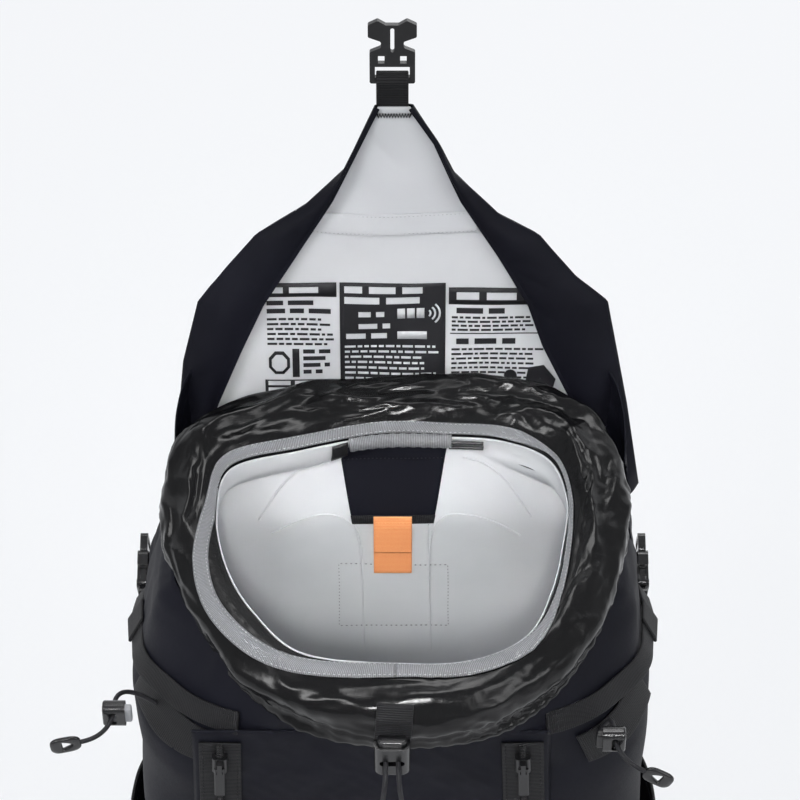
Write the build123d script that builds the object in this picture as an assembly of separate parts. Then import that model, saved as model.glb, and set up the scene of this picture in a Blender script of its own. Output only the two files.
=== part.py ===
"""Avalanche airbag backpack, roll-out collar and tilting lid, as separate sewn and moulded pieces.

Frame: +Z up, +Y towards the wearer's back, -Y the pack's front, +X the pack's left side as worn
seen from its front. The origin is the centre of the base's underside. All sizes are millimetres.
"""

import math
import os

from build123d import *

# ---------------------------------------------------------------- driving dimensions
BODY_W = 320.0
BODY_D = 210.0
BODY_R = 55.0
BASE_EDGE = 18.0
FABRIC_T = 2.0
BOOT_T = 1.5
BOOT_H = 62.0
SHOULDER_Z = 410.0
RIM_Z = 500.0
RIM_W = 216.0
RIM_D = 182.0
RIM_R = min(RIM_W, RIM_D) / 2 - 5.0
RIM_Y = -20.0
FIT = 0.3

COLLAR_T = 1.6
COLLAR_RISE = 12.0
COLLAR_TOP = 15.0
COLLAR_FOLD = 28.0
COLLAR_DROP = 18.0
HEM_R = 4.5
TAPE_W = 13.0
TAPE_T = 1.2

YOKE_TOP_Z = 512.0
YOKE_TOP_W = BODY_W - 30.0
YOKE_TOP_D = BODY_D + 8.0
HINGE_Y = YOKE_TOP_D / 2 - 0.4
HINGE_Z = 512.8
LID_OPEN = 104.0
LID_RISE = 18.0
LID_T = 3.0
LID_LENGTH = 206.0
WING_DROP = 13.0

PANEL_Y = BODY_D / 2 - 45.0
PANEL_TOP = 484.0
PANEL_T = 2.0
WEB_W = 20.0
WEB_T = 1.8
CORD_D = 3.0

BODY_BACK = BODY_D / 2
BODY_FRONT = -BODY_D / 2
RIM_BACK = RIM_Y + RIM_D / 2
RIM_FRONT = RIM_Y - RIM_D / 2
GUSSET_Y = 46.0
CORD_GAP = 0.2


# ---------------------------------------------------------------- shared shapes
def block(x0, x1, y0, y1, z0, z1):
    """Box between two corners."""
    size = Box(x1 - x0, y1 - y0, z1 - z0)
    return Pos((x0 + x1) / 2, (y0 + y1) / 2, (z0 + z1) / 2) * size


def slab(width, depth, height, radius, axis=Axis.Z):
    """Rounded plate centred on the origin, its corners rounded about the axis."""
    plate = extrude(RectangleRounded(width, depth, radius), height / 2, both=True)
    if axis == Axis.X:
        return Rot(0, 90, 0) * plate
    if axis == Axis.Y:
        return Rot(90, 0, 0) * plate
    return plate


def ring_section(z, width, depth, radius, y=0.0):
    """One rounded-rectangle level of the bag."""
    return Pos(0, y, z) * RectangleRounded(width, depth, radius)


def bag_form(grow, low_z, high_z):
    """Bag volume between two heights, grown outwards by a fabric allowance."""
    wide = BODY_W + 2 * grow
    deep = BODY_D + 2 * grow
    edge = BASE_EDGE
    levels = []
    if low_z < edge:
        slim = 2 * (edge - low_z)
        levels.append((low_z, wide - slim, deep - slim, BODY_R + grow - slim / 2, 0.0))
        low_z = edge
    levels.append((low_z, wide, deep, BODY_R + grow, 0.0))
    if high_z <= SHOULDER_Z:
        levels.append((high_z, wide, deep, BODY_R + grow, 0.0))
    else:
        levels.append((SHOULDER_Z, wide, deep, BODY_R + grow, 0.0))
        rim = (RIM_Z, RIM_W + 2 * grow, RIM_D + 2 * grow, RIM_R + grow, RIM_Y)
        levels.append(rim)
        if high_z > RIM_Z:
            levels.append((high_z, *rim[1:]))
    return loft([ring_section(z, w, d, r, y) for z, w, d, r, y in levels], ruled=True)


def band(points, width, thickness, radius=6.0):
    """Flat webbing bent along a line in the YZ plane and centred on X = 0."""
    if len(points) > 2:
        line = FilletPolyline(*points, radius=radius)
    else:
        line = Polyline(*points)
    return extrude(Plane.YZ * trace(line, thickness), width / 2, both=True)


def cord(points, diameter):
    """Round cord with straight runs and tangent bends at each corner."""
    line = None
    if len(points) > 2:
        runs = [math.dist(a, b) for a, b in zip(points, points[1:])]
        radii = []
        for i in range(1, len(points) - 1):
            before = Vector(*points[i]) - Vector(*points[i - 1])
            after = Vector(*points[i + 1]) - Vector(*points[i])
            half = math.radians(before.get_angle(after)) / 2
            radii.append(0.45 * min(runs[i - 1], runs[i]) / math.tan(half))
        print("cord radii", [round(r, 1) for r in radii])
        line = FilletPolyline(*points, radius=radii[0] if len(radii) == 1 else radii)
    else:
        line = Polyline(*points)
    start = line @ 0
    return sweep(Plane(origin=start, z_dir=line % 0) * Circle(diameter / 2), path=line)


def buckle_female(width):
    """Receiver of a side-release buckle: mouth at +X, webbing bar at -X, face up +Z."""
    wide = width + 7
    body = slab(26, wide, 8, 4)
    body = chamfer(body.edges().group_by(Axis.Z)[-1], 1.2)
    body -= Pos(4, 0, 0) * Box(22, width + 2, 4.6)
    body -= Pos(3, wide / 2, 0) * Box(11, 6, 9)
    body -= Pos(3, -wide / 2, 0) * Box(11, 6, 9)
    tail = Pos(-18, 0, 0) * slab(14, wide, 5, 3)
    tail -= Pos(-20, 0, 0) * Box(5, width + 1, 6)
    return body + tail


def buckle_male(width):
    """Prong half of a side-release buckle that enters the receiver from +X."""
    wide = width + 7
    plate = Pos(20.5, 0, 0) * slab(14, wide, 5, 3)
    plate -= Pos(22.5, 0, 0) * Box(5, width + 1, 6)
    rail = Pos(4.5, 0, 0) * Box(20, 4, 3.4)
    arms = Sketch()
    for side in (-1, 1):
        y = side * (width / 2 - 1.2)
        arms += Pos(6, y) * Rectangle(18, 2.6)
        tip = Polygon((-5, y - side * 1.3), (4, y - side * 1.3), (4, y + side * 2.0),
                      (0, y + side * 2.0), align=None)
        arms += tip
    return plate + rail + extrude(arms, 1.8, both=True)


def lock_shell(width, depth, height):
    """Cord-lock barrel: press axis Z, cords through it along Y, plunger seat open at the top."""
    body = slab(width, depth, height, min(width, depth) * 0.42)
    body = fillet(body.edges().group_by(Axis.Z)[0], 1.6)
    seat = slab(width - 4, depth - 4, height, min(width, depth) * 0.42 - 2)
    body -= Pos(0, 0, 2.4) * seat
    body -= Pos(0, 0, -0.5) * slab(width - 7, 4.2, depth * 2, 1.8, Axis.Y)
    return body


def lock_plunger(width, depth, height, proud):
    """Spring plunger for a cord lock, standing proud of the barrel's top."""
    w, d = width - 4 - 2 * FIT, depth - 4 - 2 * FIT
    low, high = -height / 2 + 2.4 + proud, height / 2 + proud
    core = Pos(0, 0, (low + high) / 2) * slab(w, d, high - low, min(w, d) * 0.4)
    core = fillet(core.edges().group_by(Axis.Z)[-1], 1.4)
    return core - Pos(0, 0, 0.9) * slab(width - 7.4, 4.2 + proud, depth * 2, 1.8, Axis.Y)


# ---------------------------------------------------------------- bag body
parts = {}

outer = bag_form(0, BOOT_T, RIM_Z)
cavity = bag_form(-FABRIC_T, BOOT_T + FABRIC_T, RIM_Z + 6)
parts["bag_shell"] = outer - cavity

boot_form = bag_form(BOOT_T, 0, BOOT_H)
parts["base_boot"] = boot_form - bag_form(0, BOOT_T, BOOT_H + 1)

# Back wall and side gussets that rise behind the collar and carry the lid.
yoke_levels = [
    ring_section(SHOULDER_Z, BODY_W, BODY_D, BODY_R),
    ring_section(YOKE_TOP_Z, YOKE_TOP_W, YOKE_TOP_D, BODY_R),
]
yoke_inside = [
    ring_section(SHOULDER_Z, BODY_W - 2 * FABRIC_T, BODY_D - 2 * FABRIC_T, BODY_R - FABRIC_T),
    ring_section(YOKE_TOP_Z, YOKE_TOP_W - 2 * FABRIC_T, YOKE_TOP_D - 2 * FABRIC_T,
                 BODY_R - FABRIC_T),
]
yoke = loft(yoke_levels, ruled=True) - loft(yoke_inside, ruled=True)
gusset_edge = Plane.YZ * Polygon(
    (GUSSET_Y, YOKE_TOP_Z + 5), (GUSSET_Y - 6, SHOULDER_Z - 5), (200, SHOULDER_Z - 5),
    (200, YOKE_TOP_Z + 5), align=None)
yoke &= extrude(gusset_edge, 200, both=True)
parts["back_yoke"] = yoke - outer

# Side pockets: open-topped cups on both lower sides.
POCKET_LOW = 70.0
POCKET_HIGH = 230.0
POCKET_OUT = 16.0


def side_pocket(side):
    """Stretch pocket whose mouth stands off the bag's side."""
    def level(z, out, inset):
        width = BODY_W / 2 + out - inset
        shape = RectangleRounded(2 * width, 120 - 2 * inset, 26 - inset)
        return Pos(0, -10, z) * shape

    low, high = POCKET_LOW, POCKET_HIGH
    hull = loft([level(low, 6, 0), level(high, POCKET_OUT, 0)], ruled=True)
    bore = loft([level(low + 2, 6, 2), level(high + 4, POCKET_OUT + 0.2, 2)], ruled=True)
    half = block(0, 200, -120, 120, low - 5, high + 5)
    if side < 0:
        half = mirror(half, about=Plane.YZ)
    return ((hull - bore) & half) - bag_form(0, BOOT_H + 2, high + 10)


parts["side_pockets"] = side_pocket(-1) + side_pocket(1)

# Front tool pocket under the two zips, wider at its foot.
FRONT_T = 6.0
FRONT_LOW = 72.0
FRONT_HIGH = 452.0
FRONT_FACE = BODY_FRONT - FRONT_T
ZIP_TOP = (-106.0, 80.0)
ZIP_FOOT = (-116.0, 94.0)
ZIP_HIGH = 442.0
ZIP_LOW = 96.0
ZIP_MARGIN = 17.0


def front_plane(y):
    """XZ plane at this depth that looks out of the pack's front."""
    return Plane(origin=(0, y, 0), x_dir=(1, 0, 0), z_dir=(0, -1, 0))


def front_outline(inset):
    """Pocket outline on the front, in X and Z."""
    low, high = FRONT_LOW + inset, FRONT_HIGH - inset
    left, right = -ZIP_MARGIN + inset, ZIP_MARGIN - inset
    return Polygon((ZIP_FOOT[0] + left, low), (ZIP_FOOT[1] + right, low),
                   (ZIP_TOP[1] + right, high), (ZIP_TOP[0] + left, high), align=None)


pocket_back = front_plane(-80) * front_outline(0)
pocket_face = front_plane(FRONT_FACE) * front_outline(7)
room_back = front_plane(-80) * front_outline(2)
room_face = front_plane(FRONT_FACE + 1.6) * front_outline(9)
pocket_room = loft([room_back, room_face], ruled=True) - bag_form(1.4, BOOT_H, RIM_Z)
pocket_skin = loft([pocket_back, pocket_face], ruled=True) - bag_form(0, BOOT_H, RIM_Z)
parts["front_pocket"] = pocket_skin - pocket_room

# Zips: tape, coil and end stop along each side of the pocket face, with a slider each.
ZIP_COIL_D = 4.4
zips = []
for name, foot, top in (("left", ZIP_FOOT[0], ZIP_TOP[0]), ("right", ZIP_FOOT[1], ZIP_TOP[1])):
    lean = math.degrees(math.atan2(top - foot, ZIP_HIGH - ZIP_LOW))
    length = math.hypot(top - foot, ZIP_HIGH - ZIP_LOW)
    tape = Pos(0, -0.6, 0) * Box(13, 1.2, length)
    coil_y = -1.2 - ZIP_COIL_D / 2
    coil = Pos(0, coil_y + 0.2, 0) * extrude(Circle(ZIP_COIL_D / 2), length / 2 - 4, both=True)
    stop = Pos(0, -3.4, -length / 2 + 4) * Box(8, 4.4, 5)
    place = Pos((foot + top) / 2, FRONT_FACE, (ZIP_LOW + ZIP_HIGH) / 2) * Rot(0, lean, 0)
    zips.append(place * (tape + coil + stop))
    slider = Pos(0, coil_y + 0.2, 0) * slab(9.5, 7.4, 13, 2.2)
    slider -= Pos(0, coil_y + 0.2, 0) * extrude(Circle(ZIP_COIL_D / 2 + FIT), 20, both=True)
    slider -= Pos(0, 1.4 - 1.5 - FIT, 0) * Box(12, 3, 20)
    slider -= Pos(0, -1.0, 0) * Box(2.4, 3, 20)
    bridge = Pos(0, -8.4, 1.5) * (Box(3, 5, 9) - Pos(0, 0.6, 0) * Box(4, 2.4, 5))
    pull = Pos(0, -10, -11) * slab(6.5, 1.8, 26, 0.8)
    pull -= Pos(0, -10, -1.2) * Box(4, 4, 3.4)
    parts["zip_slider_" + name] = place * Pos(0, 0, length / 2 - 16) * (slider + bridge + pull)
parts["front_zips"] = zips[0] + zips[1]

# Rolled-out collar: swept round the rim, ending in a drawcord hem.
rim_ring = ring_section(RIM_Z, RIM_W, RIM_D, RIM_R, RIM_Y).wire()


def rim_sweep(section):
    """Sweep a profile, given as outward offset and height, round the rim."""
    start = Vector(*(rim_ring @ 0))
    centre = Vector(0, RIM_Y, RIM_Z)
    away = start - centre
    along = rim_ring % 0
    out = Vector(along.Y, -along.X, 0)
    if out.dot(away) < 0:
        out = out * -1
    frame = Plane(origin=start, x_dir=out, z_dir=out.cross(Vector(0, 0, 1)))
    return sweep(frame * section, path=rim_ring)


collar_line = Polyline(
    (0, 0.8), (0, COLLAR_RISE), (COLLAR_TOP, COLLAR_RISE), (COLLAR_FOLD - 2, 4),
    (COLLAR_FOLD, -COLLAR_DROP))
hem = Pos(COLLAR_FOLD, -COLLAR_DROP - HEM_R + 1) * RegularPolygon(HEM_R, 8, rotation=22.5)
parts["collar"] = rim_sweep(trace(collar_line, COLLAR_T) + hem)
tape_low = COLLAR_RISE + COLLAR_T / 2
tape_section = Pos(TAPE_W / 2 - 1, tape_low + TAPE_T / 2) * Rectangle(TAPE_W, TAPE_T)
parts["collar_tape"] = rim_sweep(tape_section)

# Drawcord tails and their lock at the front of the hem.
HEM_FRONT = RIM_FRONT - COLLAR_FOLD - HEM_R * math.cos(math.radians(22.5))
HEM_Z = RIM_Z - COLLAR_DROP - HEM_R + 1
LOCK_W, LOCK_D, LOCK_H = 22.0, 13.0, 24.0
LOCK_Z = HEM_Z + 0.5
lock_place = Pos(0, HEM_FRONT - LOCK_D / 2 - FIT, LOCK_Z)
parts["drawcord_lock"] = lock_place * lock_shell(LOCK_W, LOCK_D, LOCK_H)
parts["drawcord_button"] = lock_place * lock_plunger(LOCK_W, LOCK_D, LOCK_H, 4.0)
draw_y = HEM_FRONT - LOCK_D
tails = []
for side in (-1, 1):
    tails.append(cord([(side * 3.6, HEM_FRONT, LOCK_Z - 0.5),
                       (side * 3.6, draw_y - 11, LOCK_Z - 0.5),
                       (side * 6, draw_y - 13, LOCK_Z - 23),
                       (side * 9, draw_y - 6, LOCK_Z - 62)], CORD_D))
parts["drawcord"] = tails[0]
parts["drawcord_tail"] = tails[1]

# Compression straps over each shoulder, cut from a skin on the bag's taper.
STRAP_W = 15.0
STRAP_LEAN = 21.5
STRAP_BACK_Y = 34.0
STRAP_BACK_Z = 416.0
STRAP_END_X = 89.0
BUCKLE_W = 15.0
strap_skin = bag_form(WEB_T, 300, RIM_Z - 8) - bag_form(0, 290, RIM_Z - 7)
strap_slab = Pos(0, STRAP_BACK_Y, STRAP_BACK_Z) * Rot(-STRAP_LEAN, 0, 0) * Box(500, 600, STRAP_W)
strap_ring = strap_skin & strap_slab
zone = block(STRAP_END_X, 200, -140, STRAP_BACK_Y, 380, 490)
zone += mirror(zone, about=Plane.YZ)
parts["compression_straps"] = strap_ring & zone

skin_x = BODY_W / 2
side_place = Pos(skin_x + 4.8, STRAP_BACK_Y + 28, STRAP_BACK_Z - 14) * Rot(STRAP_LEAN, 0, 0)
side_place = side_place * Rot(0, 0, -90) * Rot(90, 0, 0)
receiver = side_place * buckle_female(BUCKLE_W)
prongs = side_place * buckle_male(BUCKLE_W)
parts["side_buckles"] = receiver + mirror(receiver, about=Plane.YZ)
parts["side_prongs"] = prongs + mirror(prongs, about=Plane.YZ)

# ---------------------------------------------------------------- opening lining
panel_slab = block(-200, 200, PANEL_Y, PANEL_Y + PANEL_T, 12, PANEL_TOP)
parts["lining_panel"] = panel_slab & cavity
PANEL_FACE = PANEL_Y


def panel_patch(outline, thick):
    """Fabric patch sewn flat on the front of the lining panel."""
    plane = front_plane(PANEL_FACE - thick)
    return extrude(plane * outline, -thick)


window = Polygon((-34, 483), (-32, 468), (-26, 434), (-22, 431), (22, 431), (26, 434), (32, 468),
                 (34, 483), align=None)
parts["window_flap"] = panel_patch(window, 1.2)
PULL_W = 25.0
pull_loop = Pos(0, 412) * RectangleRounded(PULL_W, 40, 4)
pull_loop -= Pos(0, 407) * RectangleRounded(PULL_W - 12, 18, 3)
parts["panel_pull_tab"] = extrude(front_plane(PANEL_FACE - 3.4) * pull_loop, -2.0)

WIRE_D = 4.0
WIRE_IN = 9.0
wire_ring = ring_section(RIM_Z - 4, RIM_W - 2 * WIRE_IN, RIM_D - 2 * WIRE_IN, RIM_R - WIRE_IN,
                         RIM_Y).wire()
wire_start = Plane(origin=wire_ring @ 0, z_dir=wire_ring % 0)
wire_full = sweep(wire_start * Circle(WIRE_D / 2), path=wire_ring)
parts["frame_wire"] = wire_full & block(-66, 66, RIM_Y + 20, 200, 480, 520)
sleeve_y = RIM_BACK - WIRE_IN
sleeve_plane = Plane(origin=(-27, sleeve_y, RIM_Z - 4), z_dir=(1, 0, 0))
sleeve = extrude(sleeve_plane * (Circle(6) - Circle(WIRE_D / 2 + 0.2)), 54)
sleeve += block(-27, 27, PANEL_Y + PANEL_T, PANEL_Y + PANEL_T + 1.4, 472, RIM_Z - 8)
parts["wire_tunnel"] = sleeve

# ---------------------------------------------------------------- airbag system, behind the lining
ROOM_BACK = BODY_BACK - FABRIC_T
SHEET_T = 3.0
parts["frame_sheet"] = Pos(0, ROOM_BACK - SHEET_T / 2, 225) * slab(190, 370, SHEET_T, 24, Axis.Y)
BAG_DEEP = ROOM_BACK - SHEET_T - PANEL_Y - PANEL_T - 2 * FIT
BAG_Y = PANEL_Y + PANEL_T + FIT + BAG_DEEP / 2
parts["airbag"] = Pos(0, BAG_Y, 345) * slab(170, 110, BAG_DEEP, 16, Axis.Y)
CART_R = 16.5
CART_X = 45.0
CART_Z = 50.0
cart_profile = Plane.XZ * Polygon(
    (0, 0), (CART_R - 3, 0), (CART_R, 3), (CART_R, 150), (CART_R - 3, 160), (9, 167), (9, 176),
    (0, 176), align=None)
cart_place = Pos(CART_X, BAG_Y, CART_Z)
parts["gas_cartridge"] = cart_place * revolve(cart_profile, Axis.Z)
HEAD_H = 46.0
head = slab(36, 32, HEAD_H, 10)
head -= Pos(0, 0, -HEAD_H / 2) * extrude(Circle(9), 9)
head += Pos(-18, 0, 8) * Rot(0, -90, 0) * extrude(Circle(8), 7)
HEAD_Z = CART_Z + 176 - 9 + HEAD_H / 2
parts["inflator_head"] = Pos(CART_X, BAG_Y, HEAD_Z) * head
hose_x = CART_X - 25
hose = cord([(hose_x, BAG_Y, HEAD_Z + 8), (hose_x - 30, BAG_Y, HEAD_Z + 8),
             (hose_x - 30, BAG_Y, 290)], 9)
parts["fill_hose"] = hose
cable_x = CART_X + 12
head_top = HEAD_Z + HEAD_H / 2
parts["release_cable"] = cord([(cable_x, BAG_Y, head_top), (cable_x, BAG_Y, head_top + 12),
                               (cable_x + 42, BAG_Y, head_top + 18),
                               (cable_x + 42, BAG_Y, SHOULDER_Z + 10)], 5)

# ---------------------------------------------------------------- tilting lid, drawn closed
LID_PLAN = ((141, 0), (136, 0.15), (127, 0.356), (107, 0.46), (89, 0.58), (57, 0.68), (33, 0.8),
            (11, 1.0))
WING_PLAN = ((135, 0.0), (112, 0.15), (89, 0.356), (72, 0.46), (57, 0.58), (44, 0.68), (30, 0.8),
             (9, 0.985))
lid_tilt = Pos(0, HINGE_Y, HINGE_Z) * Rot(-LID_OPEN, 0, 0)
WING_T = 1.6


def lid_plan(points, z, inset=0.0):
    """Kite outline of the lid at a height over the hinge, lid closed."""
    right = [(x, -s * LID_LENGTH) for x, s in points]
    left = [(-x, y) for x, y in reversed(right)]
    face = Pos(0, 0, z) * Polygon(*right, *left, align=None)
    if inset:
        return offset(face, amount=-inset, kind=Kind.INTERSECTION)
    return face


panel_z = LID_RISE
up = (0, 0, 1)
lid_panel = extrude(lid_plan(LID_PLAN, panel_z), LID_T, dir=up)
gusset = block(-141, 141, -WING_T - FIT, -FIT, 0.5, panel_z)
lid_body = lid_panel + gusset
parts["lid_shell"] = lid_tilt * lid_body
hood = loft([lid_plan(LID_PLAN, panel_z), lid_plan(WING_PLAN, panel_z - WING_DROP)], ruled=True)
hood_room = loft([lid_plan(LID_PLAN, panel_z, WING_T),
                  lid_plan(WING_PLAN, panel_z - WING_DROP, WING_T)], ruled=True)
wings = (hood - hood_room) & block(-150, 150, -LID_LENGTH - 5, -6, 0, 60)
wings -= block(-WEB_W / 2 - FIT, WEB_W / 2 + FIT, -LID_LENGTH - 5, -LID_LENGTH + 30, 0, 60)
parts["lid_wings"] = lid_tilt * wings
band_plan = Pos(0, -0.632 * LID_LENGTH) * RectangleRounded(92, 10, 1)
band_place = Pos(0, 0, panel_z - 1.6)
parts["lid_pocket_band"] = lid_tilt * extrude(band_place * band_plan, 1.6, dir=up)

BAR_S = LID_LENGTH + 18
HOOK_T = 4.4
hook_z = panel_z + LID_T / 2
void = Polygon((-BAR_S + 3.2, -3.2), (-BAR_S - 3.2, -3.2), (-BAR_S - 3.2, 3.2),
               (-BAR_S + 3.2, 3.2), (-BAR_S + 12, 0), align=None)
loop = Polygon((-BAR_S + 3.6, -4.8), (-BAR_S - 4.8, -4.8), (-BAR_S - 4.8, 4.8),
               (-BAR_S + 3.6, 4.8), (-BAR_S + 17, 1.2), (-LID_LENGTH, 1.2),
               (-LID_LENGTH, -1.2), (-BAR_S + 17, -1.2), align=None)
web = extrude(Plane.YZ * (loop - void), WEB_W / 2, both=True)
web += block(-WEB_W / 2, WEB_W / 2, -LID_LENGTH, -LID_LENGTH + 24, -LID_T / 2 - 1.6,
             -LID_T / 2)
web += block(-WEB_W / 2, WEB_W / 2, -LID_LENGTH - 1.6, -LID_LENGTH, -LID_T / 2 - 1.6, 1.2)
parts["lid_webbing"] = lid_tilt * Pos(0, 0, hook_z) * web

hook_plan = Polygon(
    (-14, -BAR_S + 2), (14, -BAR_S + 2), (14, -BAR_S - 19), (7, -BAR_S - 22), (7, -BAR_S - 26),
    (15, -BAR_S - 29), (15, -BAR_S - 37), (9, -BAR_S - 40), (4, -BAR_S - 37), (-4, -BAR_S - 37),
    (-9, -BAR_S - 40), (-15, -BAR_S - 37), (-15, -BAR_S - 29), (-7, -BAR_S - 26),
    (-7, -BAR_S - 22), (-14, -BAR_S - 19), align=None)
hook_plan = fillet(hook_plan.vertices(), 1.4)
hook_plan -= Pos(0, -BAR_S - 5.6) * Rectangle(WEB_W + 1.4, 7.2)
for x in (-6.8, 6.8):
    hook_plan -= Pos(x, -BAR_S - 14) * Rectangle(4, 5)
hook_plan -= Pos(0, -BAR_S - 27) * RectangleRounded(2.4, 16, 1.1)
hook = extrude(hook_plan, HOOK_T / 2, both=True)
parts["lid_hook"] = lid_tilt * Pos(0, 0, hook_z) * hook

# ---------------------------------------------------------------- harness on the back
PAD_T = 12.0
pad_edge = 4.0


def back_pad(x, z, width, height):
    """Foam pad with chamfered rim on the back wall."""
    low = front_plane(BODY_BACK) * (Pos(x, z) * RectangleRounded(width, height, 18))
    mid = front_plane(BODY_BACK + PAD_T - pad_edge) * (
        Pos(x, z) * RectangleRounded(width, height, 18))
    top = front_plane(BODY_BACK + PAD_T) * (
        Pos(x, z) * RectangleRounded(width - 2 * pad_edge, height - 2 * pad_edge, 18 - pad_edge))
    return loft([low, mid, top], ruled=True)


parts["back_pads"] = back_pad(-53, 279, 82, 244) + back_pad(53, 279, 82, 244)
parts["lumbar_pad"] = back_pad(0, 109, 110, 88)

STRAP_X = 66.0
STRAP_T = 12.0
STERNUM_Z = 340.0
STERNUM_Y = BODY_BACK + 65 + STRAP_T / 2 + 5.2
strap_line = FilletPolyline((BODY_BACK + 6.2, 424), (BODY_BACK + 25, 452), (BODY_BACK + 47, 440),
                            (BODY_BACK + 65, STERNUM_Z), (BODY_BACK + 53, 250),
                            (BODY_BACK + 37, 190), radius=16)
strap_side = extrude(Plane.YZ * trace(strap_line, STRAP_T), 120, both=True)
strap_front = Polygon((-30, 480), (30, 480), (30, 380), (38, 310), (30, 240), (17, 196),
                      (15, 180), (-15, 180), (-18, 196), (-22, 240), (-24, 310), (-30, 380),
                      align=None)
strap_front = fillet(strap_front.vertices(), 10)
for side, name in ((-1, "left"), (1, "right")):
    outline = strap_front if side > 0 else mirror(strap_front, about=Plane.YZ)
    cutter = extrude(front_plane(0) * outline, 400, both=True)
    parts["shoulder_strap_" + name] = (strap_side & cutter).moved(Pos(side * STRAP_X, 0, 0))
    adjuster = slab(28, 30, 5, 4, Axis.Y)
    adjuster -= Pos(0, 0, 6.5) * Box(21, 10, 6)
    adjuster -= Pos(0, 0, -6.5) * Box(21, 10, 6)
    adjust_place = Pos(side * STRAP_X, BODY_BACK + 33.1, 175.4) * Rot(-15, 0, 0)
    parts["strap_adjuster_" + name] = adjust_place * adjuster
    lower = band([(BODY_BACK + 29.2, 160.9), (BODY_BACK + 26.8, 152), (BODY_BACK + 5, 142.5)],
                 WEB_W, WEB_T, 4)
    parts["lower_webbing_" + name] = lower.moved(Pos(side * STRAP_X, 0, 0))

stern_place = Pos(-4, STERNUM_Y, STERNUM_Z) * Rot(-90, 0, 0)
parts["sternum_buckle"] = stern_place * buckle_female(WEB_W)
male = stern_place * buckle_male(WEB_W)
parts["sternum_prong"] = male


def sternum_web(side, end):
    """Sternum webbing with its rail on the strap's face, ending at the buckle."""
    x0, x1 = sorted((side * STRAP_X, end))
    tape = block(x0, x1, STERNUM_Y - 3.6, STERNUM_Y - 2.2, STERNUM_Z - 10, STERNUM_Z + 10)
    rail = Pos(side * STRAP_X, STERNUM_Y - 7.6, STERNUM_Z) * slab(24, 32, 10.8, 5, Axis.Y)
    if side > 0:
        return (tape + rail) - extrude(Plane.YZ * trace(strap_line, STRAP_T + 2 * FIT), 120, both=True)
    return (tape + rail) - strap_side


parts["sternum_strap_left"] = sternum_web(-1, -29)
parts["sternum_strap_right"] = sternum_web(1, 23.5)

WING_Z = 92.0
hip_line = FilletPolyline((64, BODY_BACK + 8.2), (128, BODY_BACK + 10), (160, BODY_BACK + 35),
                          (172, BODY_BACK + 81), radius=24)
hip_plan = trace(hip_line, 12)
hip_low, hip_high = 46.0, 138.0
hip_block = extrude(Pos(0, 0, hip_low) * hip_plan, hip_high - hip_low)
hip_side = Plane.XZ * Polygon((60, 46), (150, 46), (200, 72), (200, 108), (150, 138), (60, 138),
                              align=None)
hip_wing = hip_block & extrude(hip_side, 400, both=True)
for side, name in ((-1, "left"), (1, "right")):
    wing = hip_wing if side > 0 else mirror(hip_wing, about=Plane.YZ)
    parts["hip_wing_" + name] = wing - parts["lumbar_pad"]
hip_end = hip_line @ 1
hip_run = hip_line % 1
hip_turn = math.degrees(math.atan2(hip_run.Y, hip_run.X))
hip_tip = Pos(hip_end.X, hip_end.Y, WING_Z - 2) * Rot(0, 0, hip_turn) * Rot(90, 0, 0)
HIP_WEB = 25.0
hip_web = block(0, 14.2, -HIP_WEB / 2, HIP_WEB / 2, -WEB_T / 2, WEB_T / 2)
female = hip_tip * (hip_web + Pos(39, 0, 0) * buckle_female(HIP_WEB))
prong = hip_tip * (hip_web + Pos(41.5, 0, 0) * Rot(0, 0, 180) * buckle_male(HIP_WEB))
parts["hip_buckle_left"] = mirror(female, about=Plane.YZ)
parts["hip_prong_right"] = prong

haul = band([(BODY_BACK + 2.0, 448), (BODY_BACK + 11, 448), (BODY_BACK + 29, 456),
             (BODY_BACK + 29, 470), (BODY_BACK + 13, 478), (BODY_BACK + 3.1, 476)], 22, 2.4, 4)
parts["haul_loop"] = haul
leg = band([(BODY_BACK + 1.8, 56), (BODY_BACK + 8, 56), (BODY_BACK + 14, 40),
            (BODY_BACK + 14, 20), (BODY_BACK + 8, 8)], WEB_W, WEB_T, 4)
parts["leg_loop"] = leg

# Ripcord handle on the left strap.
TRIG_Y = BODY_BACK + 65 + STRAP_T / 2
housing = Pos(-STRAP_X, TRIG_Y + 3.2, 292) * slab(26, 21, 44, 5)
housing -= Pos(-STRAP_X, TRIG_Y + 7.2, 286) * slab(18.6, 7.6, 44, 3)
parts["trigger_pocket"] = housing - strap_side
grip = Pos(-STRAP_X, TRIG_Y + 7.2, 287) * slab(18, 7, 40, 2.8)
grip += Pos(-STRAP_X, TRIG_Y + 7.2, 258) * slab(36, 11, 20, 5)
parts["trigger_handle"] = grip

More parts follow.
